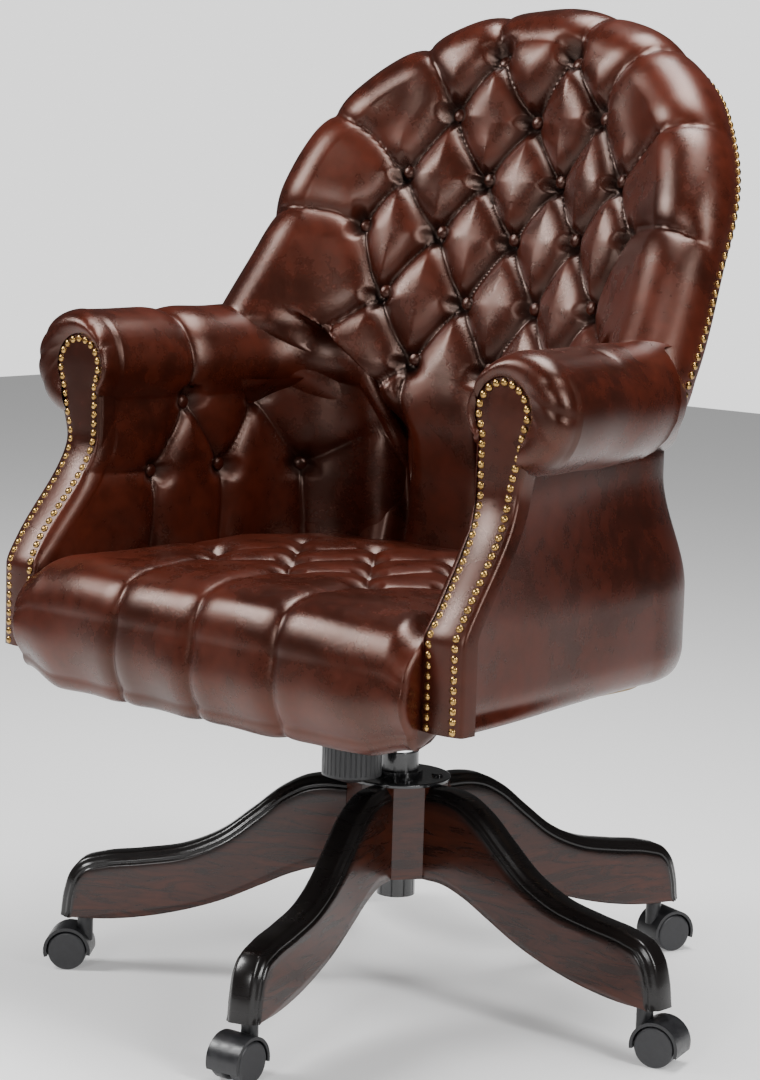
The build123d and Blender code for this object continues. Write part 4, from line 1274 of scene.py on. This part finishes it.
def hoop_nail_places():
    """Nails round the back of the border roll, above the arms."""
    column = back_points.shape[1] - 5
    line = back_points[:, column]
    keep = line[:, 2] > 0.676
    line, normal = line[keep], back_normals[keep, column]
    length = np.concatenate([[0], np.cumsum(np.linalg.norm(np.diff(line, axis=0), axis=1))])
    count = int(length[-1] / 0.0112)
    steps = (np.arange(count) + 0.5) * length[-1] / count
    places = np.stack([np.interp(steps, length, line[:, k]) for k in range(3)], -1)
    normals = np.stack([np.interp(steps, length, normal[:, k]) for k in range(3)], -1)
    return places + normals * 0.0004, normals


nail_pattern = dome_pattern(radius=0.0044, height=0.0030, rings=4, around=10, sink=0.0015)
places, normals = facing_nail_places()
mirror_x = np.array([-1.0, 1, 1])
facing_nails = scatter(
    "facing_nail_heads", np.concatenate([places, places * mirror_x]),
    np.concatenate([normals, normals * mirror_x]), nail_pattern,
)
hoop_places, hoop_normals = hoop_nail_places()
hoop_nails = scatter("hoop_nail_heads", hoop_places, hoop_normals, nail_pattern)
for piece, replaced in ((facing_nails, ["facing_nails"]), (hoop_nails, [])):
    piece.data.materials.append(antique_brass)
    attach(piece, "seat_body")
    if replaced:
        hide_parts(*replaced)
print(len(places) * 2, "facing nails,", len(hoop_places), "hoop nails")

# %% buttons


def nearest(points, target_x, target_z, column_limit, axes=(0, 2)):
    """Index of the grid point nearest to a place in one view."""
    view = points[:, :column_limit]
    gap = (view[..., axes[0]] - target_x) ** 2 + (view[..., axes[1]] - target_z) ** 2
    return np.unravel_index(np.argmin(gap), gap.shape)


def button_places():
    """Every button sits in the bottom of its dip, on the local normal of the pad's base."""
    places, normals = [], []
    for x, z in back_buttons:
        i, j = nearest(back_points, x, z, 104)
        slope_x = (pillow_y(x + 0.001, np.array(z)) - pillow_y(x - 0.001, np.array(z))) / 0.002
        slope_z = (pillow_y(x, np.array(z + 0.001)) - pillow_y(x, np.array(z - 0.001))) / 0.002
        normal = np.array([float(slope_x), -1.0, float(slope_z)])
        places.append(back_points[i, j])
        normals.append(normal)
    for q, z in arm_button_spots:
        _, _, nx, ny = arm_path(np.array(q))
        gap = (arm_places[..., 0] - q) ** 2 + (arm_places[..., 1] - z) ** 2
        i, j = np.unravel_index(np.argmin(gap), gap.shape)
        for side in (1, -1):
            places.append(arm_points[i, j] * np.array([side, 1, 1]))
            normals.append(np.array([side * float(nx), float(ny), 0.0]))
    for x, y in seat_button_spots:
        i, j = nearest(seat_points, x, y, 140, axes=(0, 1))
        places.append(seat_points[i, j])
        normals.append(np.array([0, 0, 1.0]))
    return np.array(places), np.array(normals)


places, normals = button_places()
normals /= np.linalg.norm(normals, axis=1, keepdims=True)
button_pattern = dome_pattern(radius=0.0085, height=0.0050, rings=6, around=18, sink=0.003)
button_heads = scatter("covered_buttons", places + normals * 0.0015, normals, button_pattern)
# The buttons use the darker copy of the hide: painted shade for buttons sitting in their dips.
leather_piece(button_heads, ["buttons"], shaded_hide)

# %% [markdown]
# ## Wooden legs
# A leg is sawn to an S in side view and then moulded along its upper edge: a flat crown, a
# small cove and a bead before the plain side. The surface is that moulding profile carried
# along the leg, between a lower and an upper curve.

# %% leg curves

LEG_REACH = 0.382
HUB_FLAT = 0.056
LEG_HALF = 0.019
LEG_ANGLES = [math.radians(-1.1 + 72 * index) for index in range(5)]
MOULDING = np.array([
    [0.000, 0.0085], [0.0008, 0.0108], [0.0026, 0.0124], [0.0052, 0.0134], [0.0066, 0.0146],
    [0.0074, 0.0158], [0.0086, 0.0168], [0.0102, 0.0170], [0.0112, 0.0162], [0.0118, 0.0172],
    [0.0128, 0.0184], [0.0146, 0.0190],
])


def smooth_line(points, count):
    """Smooth curve through a few points: cubic Hermite with averaged slopes."""
    points = np.array(points, float)
    gaps = np.linalg.norm(np.diff(points, axis=0), axis=1)
    knots = np.concatenate([[0], np.cumsum(gaps)])
    slopes = np.gradient(points, knots, axis=0)
    t = np.linspace(0, knots[-1], count)
    k = np.clip(np.searchsorted(knots, t, side="right") - 1, 0, len(knots) - 2)
    h = (knots[k + 1] - knots[k])[:, None]
    s = (t - knots[k])[:, None] / h
    first = (2 * s**3 - 3 * s**2 + 1) * points[k] + (s**3 - 2 * s**2 + s) * h * slopes[k]
    second = (3 * s**2 - 2 * s**3) * points[k + 1] + (s**3 - s**2) * h * slopes[k + 1]
    return first + second


def leg_surface():
    """Leg along +X: the moulding follows the upper curve, square to it, and the sides run
    down to the lower curve."""
    upper = smooth_line([
        (HUB_FLAT, 0.2405), (0.080, 0.2410), (0.104, 0.2370), (0.130, 0.2240), (0.165, 0.1960),
        (0.200, 0.1690), (0.240, 0.1510), (0.290, 0.1415), (0.335, 0.1350), (0.358, 0.1275),
        (0.371, 0.1130), (0.378, 0.0920), (LEG_REACH, 0.0620),
    ], 120)
    lower = smooth_line([
        (HUB_FLAT, 0.1380), (0.085, 0.1375), (0.115, 0.1290), (0.150, 0.1130), (0.195, 0.0925),
        (0.245, 0.0765), (0.290, 0.0670), (0.330, 0.0625), (0.345, 0.0620), (0.352, 0.0620),
        (0.358, 0.0620), (0.363, 0.0620), (0.366, 0.0620),
    ], 120)
    slope = np.gradient(upper, axis=0)
    slope /= np.linalg.norm(slope, axis=1, keepdims=True)
    down = np.stack([slope[:, 1], -slope[:, 0]], -1)
    span = np.linalg.norm(lower - upper, axis=1)
    drop = MOULDING[:, 0][None, :] * np.minimum(1.0, span / 0.020)[:, None]
    edge = upper[:, None] + down[:, None] * drop[..., None]
    plain = np.linspace(0, 1, 9)[1:]
    sides = edge[:, -1:, :] + (lower[:, None] - edge[:, -1:, :]) * plain[None, :, None]
    side_half = np.full(len(plain), LEG_HALF)
    half = np.concatenate([[0.0], MOULDING[:, 1], side_half, [LEG_HALF - 0.0015, 0.0]])
    under = np.stack([lower, lower], 1)
    strip = np.concatenate([upper[:, None], edge, sides, under], 1)
    fading = np.exp(-plain * 9) * 0.5
    dark = np.concatenate([np.ones(len(MOULDING)), [0.75], fading, [0.3, 0.3]])
    right = np.stack([strip[..., 0], np.broadcast_to(-half, strip.shape[:2]), strip[..., 1]], -1)
    left = right[:, ::-1] * np.array([1, -1, 1])
    points = np.concatenate([right, left[:, 1:-1]], 1)
    shade = np.concatenate([dark, dark[::-1][1:-1]])
    return points, np.broadcast_to(shade, points.shape[:2])


leg_points, leg_shade = leg_surface()
for number, angle in enumerate(LEG_ANGLES, start=1):
    turn = np.array([
        [math.cos(angle), -math.sin(angle), 0], [math.sin(angle), math.cos(angle), 0], [0, 0, 1],
    ])
    placed = leg_points @ turn.T
    leg_faces = grid_faces(*placed.shape[:2], wrap_columns=True)
    leg = mesh_piece(f"moulded_leg_{number}", placed, leg_faces, values={"edge": leg_shade})
    leg.data.materials.append(walnut)
    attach(leg, "base")
    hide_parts(f"leg_{number}")
print("leg faces", len(leg.data.polygons))

# %% [markdown]
# ## Camera, floor and light
# A long lens that looks from the chair's front, on its +X side, a pale floor and four soft
# lamps. The backdrop is bright to the camera only, so that it doesn't flatten the leather.

# %% stage


def build_stage():
    floor_mesh = bpy.data.meshes.new("studio_floor")
    size = 6.0
    corners = [(-size, -size, 0), (size, -size, 0), (size, size, 0), (-size, size, 0)]
    floor_mesh.from_pydata(corners, [], [(0, 1, 2, 3)])
    floor = bpy.data.objects.new("studio_floor", floor_mesh)
    bpy.context.scene.collection.objects.link(floor)
    material, tree, shader, place = new_material("pale_floor")
    cloud = noise(tree, place, 1.5, 2.0)
    paper = mix_colour(tree, cloud, (0.80, 0.80, 0.80), (0.84, 0.84, 0.84))
    tree.links.new(paper, shader.inputs["Base Color"])
    shader.inputs["Roughness"].default_value = 0.65
    shader.inputs["Emission Color"].default_value = (1.0, 1.0, 1.0, 1.0)
    shader.inputs["Emission Strength"].default_value = 0.26
    floor.data.materials.append(material)


def soft_lamp(name, place, target, power, width, height):
    lamp = bpy.data.lights.new(name, "AREA")
    lamp.shape = "RECTANGLE"
    lamp.size = width
    lamp.size_y = height
    lamp.energy = power
    thing = bpy.data.objects.new(name, lamp)
    thing.location = place
    thing.rotation_euler = (Vector(target) - Vector(place)).to_track_quat("-Z", "Y").to_euler()
    bpy.context.scene.collection.objects.link(thing)


def build_camera():
    """Long lens from the front on the +X side, its axes given as right and back."""
    data = bpy.data.cameras.new("studio_camera")
    data.lens = 94.9
    data.sensor_width = 36.0
    camera = bpy.data.objects.new("studio_camera", data)
    right = Vector((0.7479, 0.6632, 0.0287)).normalized()
    back = Vector((0.6535, -0.7431, 0.1437)).normalized()
    up = back.cross(right).normalized()
    right = up.cross(back)
    turn = Matrix((right, up, back)).transposed().to_4x4()
    camera.matrix_world = Matrix.Translation((2.0346, -2.3574, 0.9601)) @ turn
    bpy.context.scene.collection.objects.link(camera)
    bpy.context.scene.camera = camera


build_stage()
build_camera()
centre = (0.0, 0.0, 0.6)
soft_lamp("key_lamp", (-1.9, -1.9, 2.4), centre, 105, 0.9, 1.2)
soft_lamp("side_lamp", (2.5, -0.3, 1.8), centre, 60, 0.5, 1.7)
soft_lamp("top_lamp", (0.2, 0.3, 2.9), centre, 100, 1.5, 1.0)
soft_lamp("front_lamp", (0.9, -3.0, 1.5), (0.0, 0.0, 0.5), 30, 0.8, 0.8)
world = bpy.data.worlds.new("studio_air")
world.use_nodes = True
air = world.node_tree
backdrop = air.nodes["Background"]
backdrop.inputs["Color"].default_value = (1, 1, 1, 1)
sight = air.nodes.new("ShaderNodeLightPath")
level = air.nodes.new("ShaderNodeMapRange")
air.links.new(sight.outputs["Is Camera Ray"], level.inputs["Value"])
level.inputs["To Min"].default_value = 0.07
level.inputs["To Max"].default_value = 1.6
air.links.new(level.outputs["Result"], backdrop.inputs["Strength"])
bpy.context.scene.world = world
